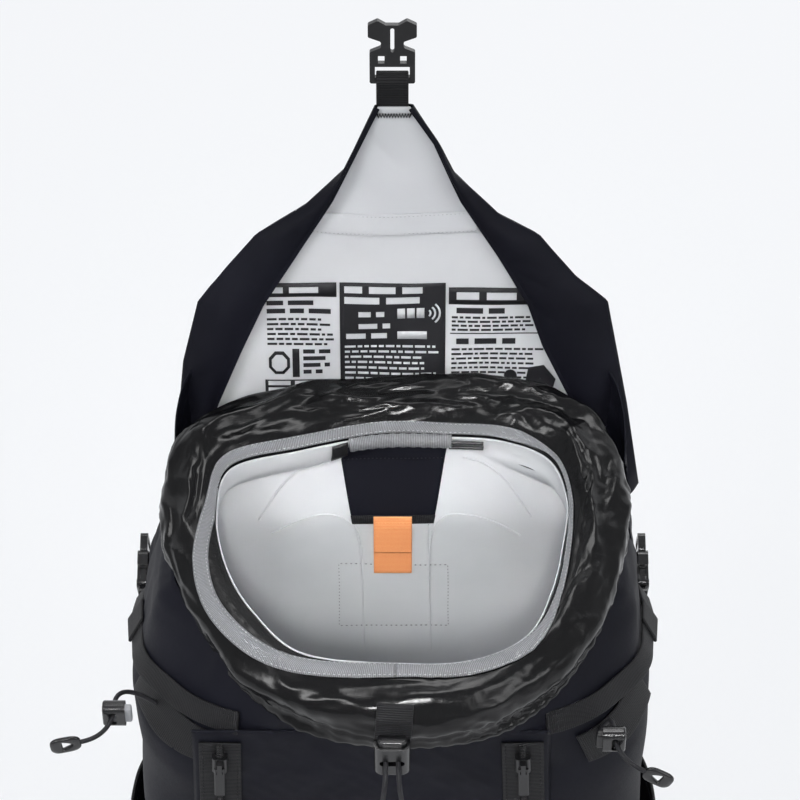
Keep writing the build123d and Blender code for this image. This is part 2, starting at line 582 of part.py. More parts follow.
# ---------------------------------------------------------------- tool cords at the front corners
AXE_W, AXE_D, AXE_H = 18.0, 10.0, 14.0
AXE_PROUD = 4.0
patch_skin = bag_form(3, 300, RIM_Z - 8) - bag_form(0, 290, RIM_Z - 7)
patches = patch_skin & block(-152, -137, -104, -47, 416, 438)
patches += patch_skin & block(119, 133, -112, -50, 414, 434)
parts["axe_patches"] = patches
axe_routes = {
    "left": [(-145.9, -70.3, 427), (-172, -66, 449), (-172, -112, 449), (-191, -115, 447)],
    "right": [(127.0, -95.1, 427), (136, -90, 450), (136, -130, 450), (154, -133, 441)],
}
barrels = []
pulls = []
pull_tab = slab(18, 13, 3, 3, Axis.Y)
pull_tab -= extrude(Plane.XZ * Polygon((-4, -3), (4, 0), (-4, 3), align=None), 4, both=True)
for name, route in axe_routes.items():
    side = -1 if name == "left" else 1
    parts["axe_cord_" + name] = cord(route, CORD_D)
    across = (route[1][1] + route[2][1]) / 2 - 5
    place = Pos(route[1][0] - side * 0.5, across, route[1][2]) * Rot(0, -90 * side, 0)
    barrels.append(place * lock_shell(AXE_W, AXE_D, AXE_H))
    parts["axe_button_" + name] = place * lock_plunger(AXE_W, AXE_D, AXE_H, AXE_PROUD)
    end = Vector(*route[3])
    run = (end - Vector(*route[2])).normalized()
    centre = end + run * (9 + CORD_GAP)
    level = math.degrees(math.atan2(-run.Z * side, abs(run.X)))
    turn = math.degrees(math.atan2(run.Y * side, abs(run.X)))
    pulls.append(Pos(centre.X, centre.Y, centre.Z) * Rot(0, 0, turn) * Rot(0, level, 0) * pull_tab)
parts["axe_locks"] = barrels[0] + barrels[1]
parts["axe_pulls"] = pulls[0] + pulls[1]

os.makedirs("parts", exist_ok=True)
for name, shape in sorted(parts.items()):
    export_step(shape, "parts/" + name + ".step")
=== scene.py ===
"""Looks of the avalanche airbag backpack: soft goods, finishes, camera and light.

Lengths are metres in the frame's axes: +Z up, +Y towards the wearer, -Y the pack's front.
"""

from __future__ import annotations

import logging
import math
from dataclasses import dataclass
from enum import Enum

import bpy
import numpy as np
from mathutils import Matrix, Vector

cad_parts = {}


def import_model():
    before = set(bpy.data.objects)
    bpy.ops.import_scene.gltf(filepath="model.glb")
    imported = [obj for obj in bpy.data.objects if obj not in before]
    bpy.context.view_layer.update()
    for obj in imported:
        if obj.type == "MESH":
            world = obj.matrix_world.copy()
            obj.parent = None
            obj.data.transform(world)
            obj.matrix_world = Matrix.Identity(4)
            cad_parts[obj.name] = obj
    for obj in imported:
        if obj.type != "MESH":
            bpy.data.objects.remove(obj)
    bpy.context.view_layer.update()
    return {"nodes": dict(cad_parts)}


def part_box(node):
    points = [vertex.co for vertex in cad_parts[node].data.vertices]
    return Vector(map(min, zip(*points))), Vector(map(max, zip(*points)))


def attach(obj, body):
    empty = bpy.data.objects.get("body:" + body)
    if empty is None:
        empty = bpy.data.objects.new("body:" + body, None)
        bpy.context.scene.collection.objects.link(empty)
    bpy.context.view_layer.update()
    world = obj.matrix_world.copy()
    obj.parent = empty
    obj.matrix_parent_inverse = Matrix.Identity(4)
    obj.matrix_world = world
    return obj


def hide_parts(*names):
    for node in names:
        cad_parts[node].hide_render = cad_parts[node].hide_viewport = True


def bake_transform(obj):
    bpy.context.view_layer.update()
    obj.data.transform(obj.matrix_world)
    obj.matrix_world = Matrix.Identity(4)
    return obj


logging.basicConfig(level=logging.INFO, format="%(message)s")
log = logging.getLogger("backpack")

MM = 0.001
UP = (0, 0, 1.0)
Array = np.ndarray
Colour = tuple[float, float, float]


# ---------------------------------------------------------------- shader arithmetic
class Val:
    """A shader value that takes part in ordinary arithmetic."""

    def __init__(self, tree: bpy.types.NodeTree, socket: bpy.types.NodeSocket) -> None:
        """Wrap an output socket of a node tree."""
        self.tree = tree
        self.socket = socket

    def op(self, operation: str, *others: Val | float, flip: bool = False) -> Val:
        """Apply a Math node.

        Args:
            operation: Blender's name of the operation.
            others: The other operands.
            flip: Put this value second.

        Returns:
            The result.
        """
        node = self.tree.nodes.new("ShaderNodeMath")
        node.operation = operation
        terms = [self, *others]
        if flip:
            terms.reverse()
        for slot, term in zip(node.inputs, terms):
            feed(self.tree, slot, term)
        return Val(self.tree, node.outputs[0])

    def __add__(self, other: Val | float) -> Val:
        return self.op("ADD", other)

    def __sub__(self, other: Val | float) -> Val:
        return self.op("SUBTRACT", other)

    def __mul__(self, other: Val | float) -> Val:
        return self.op("MULTIPLY", other)

    __radd__ = __add__
    __rmul__ = __mul__

    def ramp(self, low: float, high: float, smooth: bool = True) -> Val:
        """Rise from 0 at low to 1 at high."""
        node = self.tree.nodes.new("ShaderNodeMapRange")
        node.interpolation_type = "SMOOTHSTEP" if smooth else "LINEAR"
        feed(self.tree, node.inputs["Value"], self)
        node.inputs["From Min"].default_value = low
        node.inputs["From Max"].default_value = high
        return Val(self.tree, node.outputs[0])

    def wave(self, pitch: float) -> Val:
        """Cosine wave from 0 to 1 with this pitch."""
        return (self * (2 * math.pi / pitch)).op("COSINE") * 0.5 + 0.5


def feed(tree: bpy.types.NodeTree, slot: bpy.types.NodeSocket, value: object) -> None:
    """Link a Val into an input, or set a constant on it."""
    if isinstance(value, Val):
        tree.links.new(value.socket, slot)
    elif isinstance(value, tuple) and slot.type == "RGBA":
        slot.default_value = (*value, 1.0)
    else:
        slot.default_value = value


class Shader:
    """One material's nodes, built value by value."""

    def __init__(self, name: str) -> None:
        """Start a material with a plain principled surface."""
        self.material = bpy.data.materials.new(name)
        self.material.use_nodes = True
        self.tree = self.material.node_tree
        self.surface = self.tree.nodes["Principled BSDF"]

    def node(self, kind: str, **inputs: object) -> bpy.types.Node:
        """Add a node and fill its inputs, spaces in their names written as underscores."""
        node = self.tree.nodes.new(kind)
        for name, value in inputs.items():
            feed(self.tree, node.inputs[name.replace("_", " ")], value)
        return node

    def out(self, node: bpy.types.Node, name: str | int = 0) -> Val:
        """Output of a node."""
        return Val(self.tree, node.outputs[name])

    def place(self) -> Val:
        """Object coordinates, in metres."""
        return self.out(self.node("ShaderNodeTexCoord"), "Object")

    def cloth(self) -> Val:
        """The piece's own UV, in metres along and across the cloth."""
        node = self.node("ShaderNodeUVMap")
        node.uv_map = "cloth"
        return self.out(node)

    def split(self, vector: Val) -> tuple[Val, Val, Val]:
        """X, Y and Z of a vector."""
        node = self.node("ShaderNodeSeparateXYZ", Vector=vector)
        return self.out(node, 0), self.out(node, 1), self.out(node, 2)

    def noise(self, vector: Val, scale: float, detail: float = 3.0, rough: float = 0.5) -> Val:
        """Fractal noise from 0 to 1."""
        node = self.node("ShaderNodeTexNoise", Vector=vector, Scale=scale, Detail=detail,
                         Roughness=rough)
        return self.out(node, 0)

    def cells(self, vector: Val, scale: float) -> Val:
        """Distance to the nearest of scattered points."""
        return self.out(self.node("ShaderNodeTexVoronoi", Vector=vector, Scale=scale), "Distance")

    def blend(self, share: Val | float, low: object, high: object) -> Val:
        """Mix two colours."""
        node = self.tree.nodes.new("ShaderNodeMix")
        node.data_type = "RGBA"
        feed(self.tree, node.inputs["Factor"], share)
        feed(self.tree, node.inputs[6], low)
        feed(self.tree, node.inputs[7], high)
        return self.out(node, 2)

    def bump(self, height: Val, depth: float, under: Val | None = None) -> Val:
        """Normal from a height of 0 to 1 times depth in metres."""
        node = self.node("ShaderNodeBump", Height=height, Distance=depth, Strength=1.0)
        if under is not None:
            feed(self.tree, node.inputs["Normal"], under)
        return self.out(node)

    def finish(self, **inputs: object) -> bpy.types.Material:
        """Fill the surface's inputs and hand the material over."""
        for name, value in inputs.items():
            feed(self.tree, self.surface.inputs[name.replace("_", " ")], value)
        return self.material


# ---------------------------------------------------------------- finishes
@dataclass(frozen=True)
class Fabric:
    """Woven or coated cloth, with creases and, where a grid is given, ripstop lines."""

    name: str
    colour: Colour
    worn: Colour
    roughness: float
    weave: float = 0.5 * MM
    relief: float = 0.02 * MM
    grid: float = 0.0
    crease: float = 0.6 * MM
    crease_scale: float = 22.0
    coat: float = 0.0
    gloss: float = 0.16
    on_uv: bool = True

    def build(self) -> bpy.types.Material:
        """Make the material.

        Returns:
            The finished material.
        """
        s = Shader(self.name)
        place = s.place()
        u, v, w = s.split(s.cloth() if self.on_uv else place)
        if not self.on_uv:
            v = w + v * 0.7
        weave = u.wave(self.weave) * v.wave(self.weave)
        broad = s.noise(place, self.crease_scale, 2.0, 0.4)
        height = s.bump(weave, self.relief)
        height = s.bump(broad, self.crease, height)
        tone = s.noise(place, 9.0, 4.0).ramp(0.35, 0.75)
        if self.grid:
            threads = u.wave(self.grid).ramp(0.93, 1.0).op("MAXIMUM", v.wave(self.grid).ramp(0.93, 1.0))
            height = s.bump(threads, 0.012 * MM, height)
            tone = tone * 0.8 + threads * 0.2
        colour = s.blend(tone, self.colour, self.worn)
        fibre = s.noise(place, 400.0, 2.0)
        rough = fibre * 0.12 + (self.roughness - 0.06) + broad * 0.08 - 0.04
        return s.finish(Base_Color=colour, Roughness=rough, Normal=height, Coat_Weight=self.coat,
                        Coat_Roughness=0.22, Specular_IOR_Level=self.gloss)


@dataclass(frozen=True)
class Webbing:
    """Ribbed nylon tape, its ribs across the run."""

    name: str
    colour: Colour
    worn: Colour
    rib: float = 1.4 * MM
    roughness: float = 0.55

    def build(self) -> bpy.types.Material:
        """Make the material."""
        s = Shader(self.name)
        u, v, _ = s.split(s.cloth())
        place = s.place()
        ribs = u.wave(self.rib)
        yarn = (v + u * 0.35).wave(self.rib * 0.5)
        height = s.bump(ribs * 0.75 + yarn * 0.25, 0.28 * MM)
        fuzz = s.noise(place, 900.0, 2.0)
        # Colour follows the ribs: painted highlight on the rib crests and painted shade in the grooves, mixed
        # with random fuzz tone towards the worn colour.
        tone = ribs * 0.6 + fuzz * 0.4
        colour = s.blend(tone.ramp(0.2, 0.95), self.colour, self.worn)
        return s.finish(Base_Color=colour, Roughness=fuzz * 0.15 + (self.roughness - 0.07), Normal=height,
                        Specular_IOR_Level=0.25)


@dataclass(frozen=True)
class Plastic:
    """Injection-moulded part with a fine texture, worn lighter on its faces."""

    name: str
    colour: Colour
    worn: Colour
    roughness: float
    grain: float = 1800.0
    coat: float = 0.0

    def build(self) -> bpy.types.Material:
        """Make the material."""
        s = Shader(self.name)
        place = s.place()
        grain = s.cells(place, self.grain)
        smear = s.noise(place, 60.0, 4.0, 0.6)
        colour = s.blend(smear.ramp(0.45, 0.8), self.colour, self.worn)
        rough = smear * 0.14 + (self.roughness - 0.07)
        return s.finish(Base_Color=colour, Roughness=rough, Normal=s.bump(grain, 0.04 * MM),
                        Coat_Weight=self.coat, Coat_Roughness=0.12)


@dataclass(frozen=True)
class Metal:
    """Drawn or brushed metal."""

    name: str
    colour: Colour
    worn: Colour
    roughness: float

    def build(self) -> bpy.types.Material:
        """Make the material."""
        s = Shader(self.name)
        x, y, z = s.split(s.place())
        scratches = s.noise(s.place(), 220.0, 6.0, 0.7)
        colour = s.blend(scratches.ramp(0.3, 0.8), self.colour, self.worn)
        rough = scratches * 0.2 + self.roughness
        height = s.bump((z + x * 0.1 + y * 0.1).wave(0.4 * MM), 0.01 * MM)
        return s.finish(Base_Color=colour, Roughness=rough, Metallic=1.0, Normal=height)


class Look(Enum):
    """Every finish on the pack, with the record's slot it stands for."""

    SHELL = ("shell_fabric", Fabric("navy_shell", (0.0045, 0.0047, 0.0085), (0.0085, 0.0088, 0.0145), 0.6,
                                    crease=1.0 * MM, crease_scale=14.0, gloss=0.12))
    COLLAR = ("collar_fabric", Fabric("gloss_collar", (0.0025, 0.0025, 0.0028), (0.0045, 0.0045, 0.005), 0.22,
                                      relief=0.001 * MM, grid=4.5 * MM, crease=0.25 * MM, crease_scale=40.0,
                                      gloss=0.3))
    LINING = ("lining_fabric", Fabric("silver_lining", (0.575, 0.59, 0.61), (0.66, 0.672, 0.688), 0.42,
                                      relief=0.006 * MM, crease=0.8 * MM, crease_scale=11.0, gloss=0.4))
    TAPE = ("binding_tape", Webbing("grey_binding", (0.15, 0.153, 0.163), (0.33, 0.337, 0.35), 1.1 * MM))
    WEBBING = ("webbing", Webbing("black_webbing", (0.004, 0.004, 0.0048), (0.016, 0.016, 0.018)))
    CORD = ("cord", Webbing("black_cord", (0.005, 0.005, 0.006), (0.02, 0.02, 0.023), 0.9 * MM))
    HARD = ("hard_black", Plastic("black_acetal", (0.007, 0.007, 0.008), (0.014, 0.014, 0.016), 0.38))
    GLOSS = ("gloss_black", Plastic("black_nylon", (0.005, 0.005, 0.006), (0.009, 0.009, 0.01), 0.22,
                                    coat=0.25))
    BUTTON = ("button_grey", Plastic("grey_plunger", (0.3, 0.31, 0.33), (0.42, 0.43, 0.45), 0.34))
    PULL = ("pull_orange", Webbing("orange_pull", (0.93, 0.32, 0.115), (1.0, 0.47, 0.2), 1.2 * MM))
    FOAM = ("foam", Fabric("mesh_foam", (0.006, 0.0065, 0.0095), (0.014, 0.0145, 0.019), 0.8,
                           weave=2.2 * MM, relief=0.2 * MM, crease=0.5 * MM, crease_scale=20.0))
    AIRBAG = ("airbag_fabric", Fabric("airbag_nylon", (0.7, 0.1, 0.02), (0.85, 0.2, 0.05), 0.4,
                                      grid=5 * MM, on_uv=False))
    STEEL = ("cartridge_metal", Metal("cartridge_steel", (0.5, 0.51, 0.53), (0.62, 0.63, 0.65), 0.22))
    WIRE = ("wire_metal", Plastic("wire_lacquer", (0.02, 0.02, 0.022), (0.06, 0.06, 0.065), 0.3))
    SHEET = ("sheet_plastic", Plastic("back_sheet", (0.03, 0.03, 0.033), (0.05, 0.05, 0.055), 0.5))
    HEAD = ("head_plastic", Plastic("filled_nylon", (0.04, 0.04, 0.044), (0.07, 0.07, 0.075), 0.5))
    INK = ("shell_fabric",
           Fabric("lid_print", (0.011, 0.011, 0.013), (0.02, 0.02, 0.023), 0.5, crease=0.3 * MM,
                                gloss=0.3))
    GRIP = ("grip_red", Plastic("ripcord_grip", (0.5, 0.02, 0.012), (0.6, 0.05, 0.03), 0.36))

    def __init__(self, slot: str, finish: object) -> None:
        """Keep the slot and the finish apart."""
        self.slot = slot
        self.finish = finish

    def material(self) -> bpy.types.Material:
        """The finish's one material, made on first use."""
        found = bpy.data.materials.get(self.finish.name)
        return found or self.finish.build()


# ---------------------------------------------------------------- surfaces and meshes
def waves(u: Array, v: Array, seed: int, count: int = 7, low: float = 1.0, high: float = 6.0,
          closed: bool = False) -> Array:
    """Soft creases: a sum of slanted cosines, each with its own pitch and phase.

    Args:
        u: First parameter, 0 to 1.
        v: Second parameter, 0 to 1.
        seed: Seed of the pitches and phases.
        count: How many cosines are added.
        low: Fewest waves across.
        high: Most waves across.
        closed: Keep whole waves along u, so that a ring meets itself.

    Returns:
        Heights of about -1 to 1.
    """
    rng = np.random.default_rng(seed)
    total = np.zeros(np.broadcast(u, v).shape)
    for k in range(count):
        across = rng.uniform(low, high) * rng.choice([-1, 1])
        along = rng.uniform(low, high) * rng.choice([-1, 1])
        if closed:
            across = round(across)
        phase = rng.uniform(0, 2 * math.pi)
        total += np.cos(2 * math.pi * (across * u + along * v) + phase) / (1 + 0.35 * k)
    return total / 2.4


def creases(u: Array, v: Array, seed: int, count: int = 5, low: float = 2.0, high: float = 9.0,
            closed: bool = False) -> Array:
    """Sharp creases: each wave is folded at zero, so that its valleys are narrow lines."""
    total = np.zeros(np.broadcast(u, v).shape)
    for k in range(count):
        wave = waves(u, v, seed * 31 + k, 3, low * (1 + 0.3 * k), high * (1 + 0.3 * k), closed)
        total += np.sqrt(np.abs(wave) + 0.004) / (1 + 0.5 * k)
    return total / 1.6 - 0.5


def lattice(u: Array, v: Array, seed: int, repeat: int = 0) -> Array:
    """Gradient noise of about -1 to 1 on a unit lattice.

    Args:
        u: First coordinate, in cells.
        v: Second coordinate, in cells.
        seed: Seed of the gradients.
        repeat: Cells after which the noise repeats along u, 0 for never.

    Returns:
        Noise of the inputs' shape.
    """
    turn = np.random.default_rng(seed).uniform(0, 2 * math.pi, (256, 256))
    u, v = np.broadcast_arrays(u, v)
    i, j = np.floor(u).astype(int), np.floor(v).astype(int)
    f, g = u - i, v - j
    fade_u, fade_v = (t**3 * (t * (t * 6 - 15) + 10) for t in (f, g))
    total = np.zeros(u.shape)
    for a in (0, 1):
        for b in (0, 1):
            cell = (i + a) % repeat if repeat else i + a
            angle = turn[cell % 256, (j + b) % 256]
            slope = np.cos(angle) * (f - a) + np.sin(angle) * (g - b)
            total += slope * (fade_u if a else 1 - fade_u) * (fade_v if b else 1 - fade_v)
    return total * 1.5


def crumple(u: Array, v: Array, seed: int, along: int, across: float, repeat: bool = False,
            warp: float = 0.6) -> Array:
    """Ridges of crumpled cloth: lattice noise folded at zero, its lines bent by broader noise.

    Args:
        u: Share along the piece, 0 to 1.
        v: Share across it.
        seed: Seed.
        along: Cells along.
        across: Cells across.
        repeat: The piece meets itself along u.
        warp: How far the ridges wander, in cells.

    Returns:
        Heights, high on the ridges, of about -1 to 1.
    """
    cells = along if repeat else 0
    p, q = u * along, v * across
    bend = lattice(p, q * .6, seed + 500, cells) * warp
    height = 1 - 2.2 * np.sqrt(lattice(p, q + bend, seed, cells) ** 2 + .0012)
    return height * (0.75 + 0.25 * lattice(p, q, seed + 900, cells))


def catmull(a: Array, b: Array, c: Array, d: Array, f: Array) -> Array:
    """Cubic from b to c at share f, its slopes taken from the neighbours a and d (Catmull-Rom)."""
    return 0.5 * (2 * b + (c - a) * f + (2 * a - 5 * b + 4 * c - d) * f**2
                  + (3 * b - a - 3 * c + d) * f**3)


def run_length(points: Array) -> Array:
    """Length along a line up to each of its points."""
    return np.concatenate([[0], np.cumsum(np.linalg.norm(np.diff(points, axis=0), axis=1))])


def loop_curve(points: Array, count: int) -> Array:
    """Closed Catmull-Rom curve through the points, count samples."""
    pts = np.asarray(points, float)
    n = len(pts)
    t = np.arange(count) * n / count
    i = np.floor(t).astype(int)
    f = (t - i)[:, None]
    a, b, c, d = (pts[(i + k) % n] for k in (-1, 0, 1, 2))
    return catmull(a, b, c, d, f)


def open_curve(points: Array, count: int) -> Array:
    """Open Catmull-Rom curve through the points, count samples at even spacing."""
    pts = np.asarray(points, float)
    ext = np.vstack([2 * pts[0] - pts[1], pts, 2 * pts[-1] - pts[-2]])
    n = len(pts) - 1
    t = np.linspace(0, n - 1e-9, max(count * 4, 40))
    i = np.floor(t).astype(int)
    f = (t - i)[:, None]
    a, b, c, d = (ext[i + k] for k in range(4))
    fine = catmull(a, b, c, d, f)
    run = run_length(fine)
    at = np.linspace(0, run[-1], count)
    return np.stack([np.interp(at, run, fine[:, k]) for k in range(fine.shape[1])], axis=1)


def unit(v: Array) -> Array:
    """Vectors scaled to length one."""
    return v / np.maximum(np.linalg.norm(v, axis=-1, keepdims=True), 1e-12)


def dress(obj: bpy.types.Object, look: Look, body: str, replaced: tuple[str, ...] = ()) -> bpy.types.Object:
    """Give a piece its finish, its body and the nodes it stands for.

    Args:
        obj: The piece, in place.
        look: Its finish.
        body: CAD body it moves with; empty where it bends between two.
        replaced: CAD nodes it stands for.

    Returns:
        The same piece.
    """
    obj.data.materials.clear()
    obj.data.materials.append(look.material())
    if body:
        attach(obj, body)
    if replaced:
        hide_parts(*replaced)
    log.info("piece %s, %s", obj.name, look.name.lower())
    return obj


def mesh_object(name: str, verts: Array, faces: list, uvs: Array | None = None,
                smooth: bool = True) -> bpy.types.Object:
    """Object at the origin from vertices, faces and one UV pair a vertex."""
    mesh = bpy.data.meshes.new(name)
    mesh.from_pydata(np.asarray(verts, float).reshape(-1, 3).tolist(), [], faces)
    if uvs is not None:
        layer = mesh.uv_layers.new(name="cloth")
        index = np.zeros(len(mesh.loops), np.int32)
        mesh.loops.foreach_get("vertex_index", index)
        layer.data.foreach_set("uv", np.asarray(uvs, np.float32).reshape(-1, 2)[index].ravel())
    mesh.polygons.foreach_set("use_smooth", [smooth] * len(mesh.polygons))
    mesh.update()
    obj = bpy.data.objects.new(name, mesh)
    bpy.context.scene.collection.objects.link(obj)
    return obj


def grid_faces(rows: int, cols: int, closed: bool, start: int = 0) -> list:
    """Quads of a grid, its last column joined to its first if closed."""
    i, j = np.meshgrid(np.arange(rows - 1), np.arange(cols if closed else cols - 1), indexing="ij")
    k = (j + 1) % cols
    quads = np.stack([i * cols + j, i * cols + k, (i + 1) * cols + k, (i + 1) * cols + j], axis=-1)
    return (quads.reshape(-1, 4) + start).tolist()


def surface(name: str, points: Array, closed: bool = False, thick: float = 0.0, flip: bool = False,
            offset: float = -1.0, subdiv: int = 0) -> bpy.types.Object:
    """Object from a grid of points, with UV in metres along both ways.

    Args:
        name: Its name.
        points: Rows by columns by 3.
        closed: Columns run round and meet.
        thick: Thickness of the cloth.
        flip: Turn the faces over.
        offset: Where the thickness goes, -1 inwards and 1 outwards.
        subdiv: Subdivision levels.

    Returns:
        The piece, undressed.
    """
    rows, cols = points.shape[:2]
    along = np.linalg.norm(np.diff(points, axis=1), axis=2).mean(0)
    down = np.linalg.norm(np.diff(points, axis=0), axis=2).mean(1)
    u = np.concatenate([[0], np.cumsum(along)])
    v = np.concatenate([[0], np.cumsum(down)])
    uv = np.stack(np.broadcast_arrays(u[None, :], v[:, None]), axis=-1)
    faces = grid_faces(rows, cols, closed)
    if flip:
        faces = [f[::-1] for f in faces]
    obj = mesh_object(name, points, faces, uv)
    if thick:
        solid = obj.modifiers.new("thickness", "SOLIDIFY")
        solid.thickness = thick
        solid.offset = offset
    if subdiv:
        fine = obj.modifiers.new("fine", "SUBSURF")
        fine.levels = fine.render_levels = subdiv
    return obj


def sweep(path: Array, across: Array, profile: Array, closed: bool = False,
          scale: Array | None = None) -> tuple[Array, list, Array]:
    """Carry a closed profile along a path.

    Args:
        path: Points of the path.
        across: Direction of the profile's first axis at each point; the second is path x across.
        profile: Profile points, first axis and second axis.
        closed: The path meets itself.
        scale: Pairs that stretch the profile at each point.

    Returns:
        Vertices, faces and UVs in metres: first along the path, second across.
    """
    n, m = len(path), len(profile)
    if closed:
        run = unit(np.roll(path, -1, axis=0) - np.roll(path, 1, axis=0))
    else:
        run = unit(np.gradient(path, axis=0))
    side = unit(across - run * np.sum(across * run, axis=1, keepdims=True))
    over = np.cross(run, side)
    size = np.ones((n, 2)) if scale is None else scale
    verts = (path[:, None, :] + side[:, None, :] * (profile[None, :, 0] * size[:, :1])[..., None]
             + over[:, None, :] * (profile[None, :, 1] * size[:, 1:])[..., None])
    length = run_length(path)
    uv = np.stack(np.broadcast_arrays(length[:, None], profile[None, :, 0]), axis=-1)
    rows = n + 1 if closed else n
    i, j = np.meshgrid(np.arange(rows - 1), np.arange(m), indexing="ij")
    k, below = (j + 1) % m, (i + 1) % n
    faces = np.stack([i * m + j, i * m + k, below * m + k, below * m + j], axis=-1)
    faces = faces.reshape(-1, 4).tolist()
    if not closed:
        faces.append(list(range(m))[::-1])
        faces.append([(n - 1) * m + q for q in range(m)])
    return verts.reshape(-1, 3), faces, uv.reshape(-1, 2)


def swept(name: str, path: Array, across: Array | tuple, profile: Array, closed: bool = False,
          scale: Array | None = None) -> bpy.types.Object:
    """Piece carried along a path; across may be one direction for the whole run."""
    side = np.broadcast_to(np.asarray(across, float), path.shape)
    return mesh_object(name, *sweep(path, side, profile, closed, scale))


def flat_profile(width: float, thick: float) -> Array:
    """Webbing's section: flat faces and rounded selvedges."""
    w, t = width / 2, thick / 2
    e = min(t, w) * 0.9
    half = [(-w, 0), (-w + e * 0.3, t * 0.75), (-w + e, t), (-w * 0.4, t), (w * 0.4, t), (w - e, t),
            (w - e * 0.3, t * 0.75), (w, 0)]
    return np.array(half + [(x, -y) for x, y in half[-2:0:-1]])


def round_profile(radius: float, count: int = 10) -> Array:
    """Round section."""
    a = np.arange(count) * 2 * math.pi / count
    return np.stack([np.cos(a), np.sin(a)], axis=1) * radius


def ribbon(name: str, points: Array, width: float, thick: float, across: Array | tuple,
           count: int = 60, smooth_path: bool = True) -> bpy.types.Object:
    """Webbing along a line, its width set square to the run."""
    path = open_curve(points, count) if smooth_path else np.asarray(points, float)
    return swept(name, path, across, flat_profile(width, thick))


def stitches(name: str, path: Array, pitch: float, normal: Array | tuple, size: float = 0.5 * MM,
             share: float = 0.62) -> bpy.types.Object:
    """Row of thread stitches along a line: each a low four-sided lens on the cloth."""
    pts = np.asarray(path, float)
    run = run_length(pts)
    count = max(int(run[-1] / pitch), 1)
    mid = (np.arange(count) + 0.5) * run[-1] / count
    at = [np.stack([np.interp(mid + d * pitch * share / 2, run, pts[:, k]) for k in range(3)], axis=1)
          for d in (-1, 0, 1)]
    up = unit(np.broadcast_to(np.asarray(normal, float), pts.shape))
    lift = np.stack([np.interp(mid, run, up[:, k]) for k in range(3)], axis=1)
    side = unit(np.cross(at[2] - at[0], lift))
    ring = [at[0], at[1] - side * size * 0.6, at[1] + lift * size, at[1] + side * size * 0.6, at[2],
            at[1] - lift * size * 0.6]
    verts = np.stack(ring, axis=1).reshape(-1, 3)
    base = np.array([[0, 1, 2], [0, 2, 3], [4, 2, 1], [4, 3, 2], [0, 5, 1], [0, 3, 5], [4, 1, 5],
                     [4, 5, 3]])
    faces = (base[None] + (np.arange(count) * 6)[:, None, None]).reshape(-1, 3).tolist()
    return mesh_object(name, verts, faces, np.zeros((len(verts), 2)))


def cord_curve(name: str, points: list, diameter: float) -> bpy.types.Object:
    """Cord as one smooth spline with the route's points as its control points."""
    data = bpy.data.curves.new(name, "CURVE")
    data.dimensions = "3D"
    spline = data.splines.new("NURBS")
    spline.points.add(len(points) - 1)
    spline.points.foreach_set("co", np.c_[np.asarray(points, float), np.ones(len(points))].ravel())
    spline.order_u = 3
    spline.use_endpoint_u = True
    data.resolution_u = 16
    data.bevel_depth = diameter / 2
    data.bevel_resolution = 3
    data.use_fill_caps = True
    obj = bpy.data.objects.new(name, data)
    bpy.context.scene.collection.objects.link(obj)
    return obj


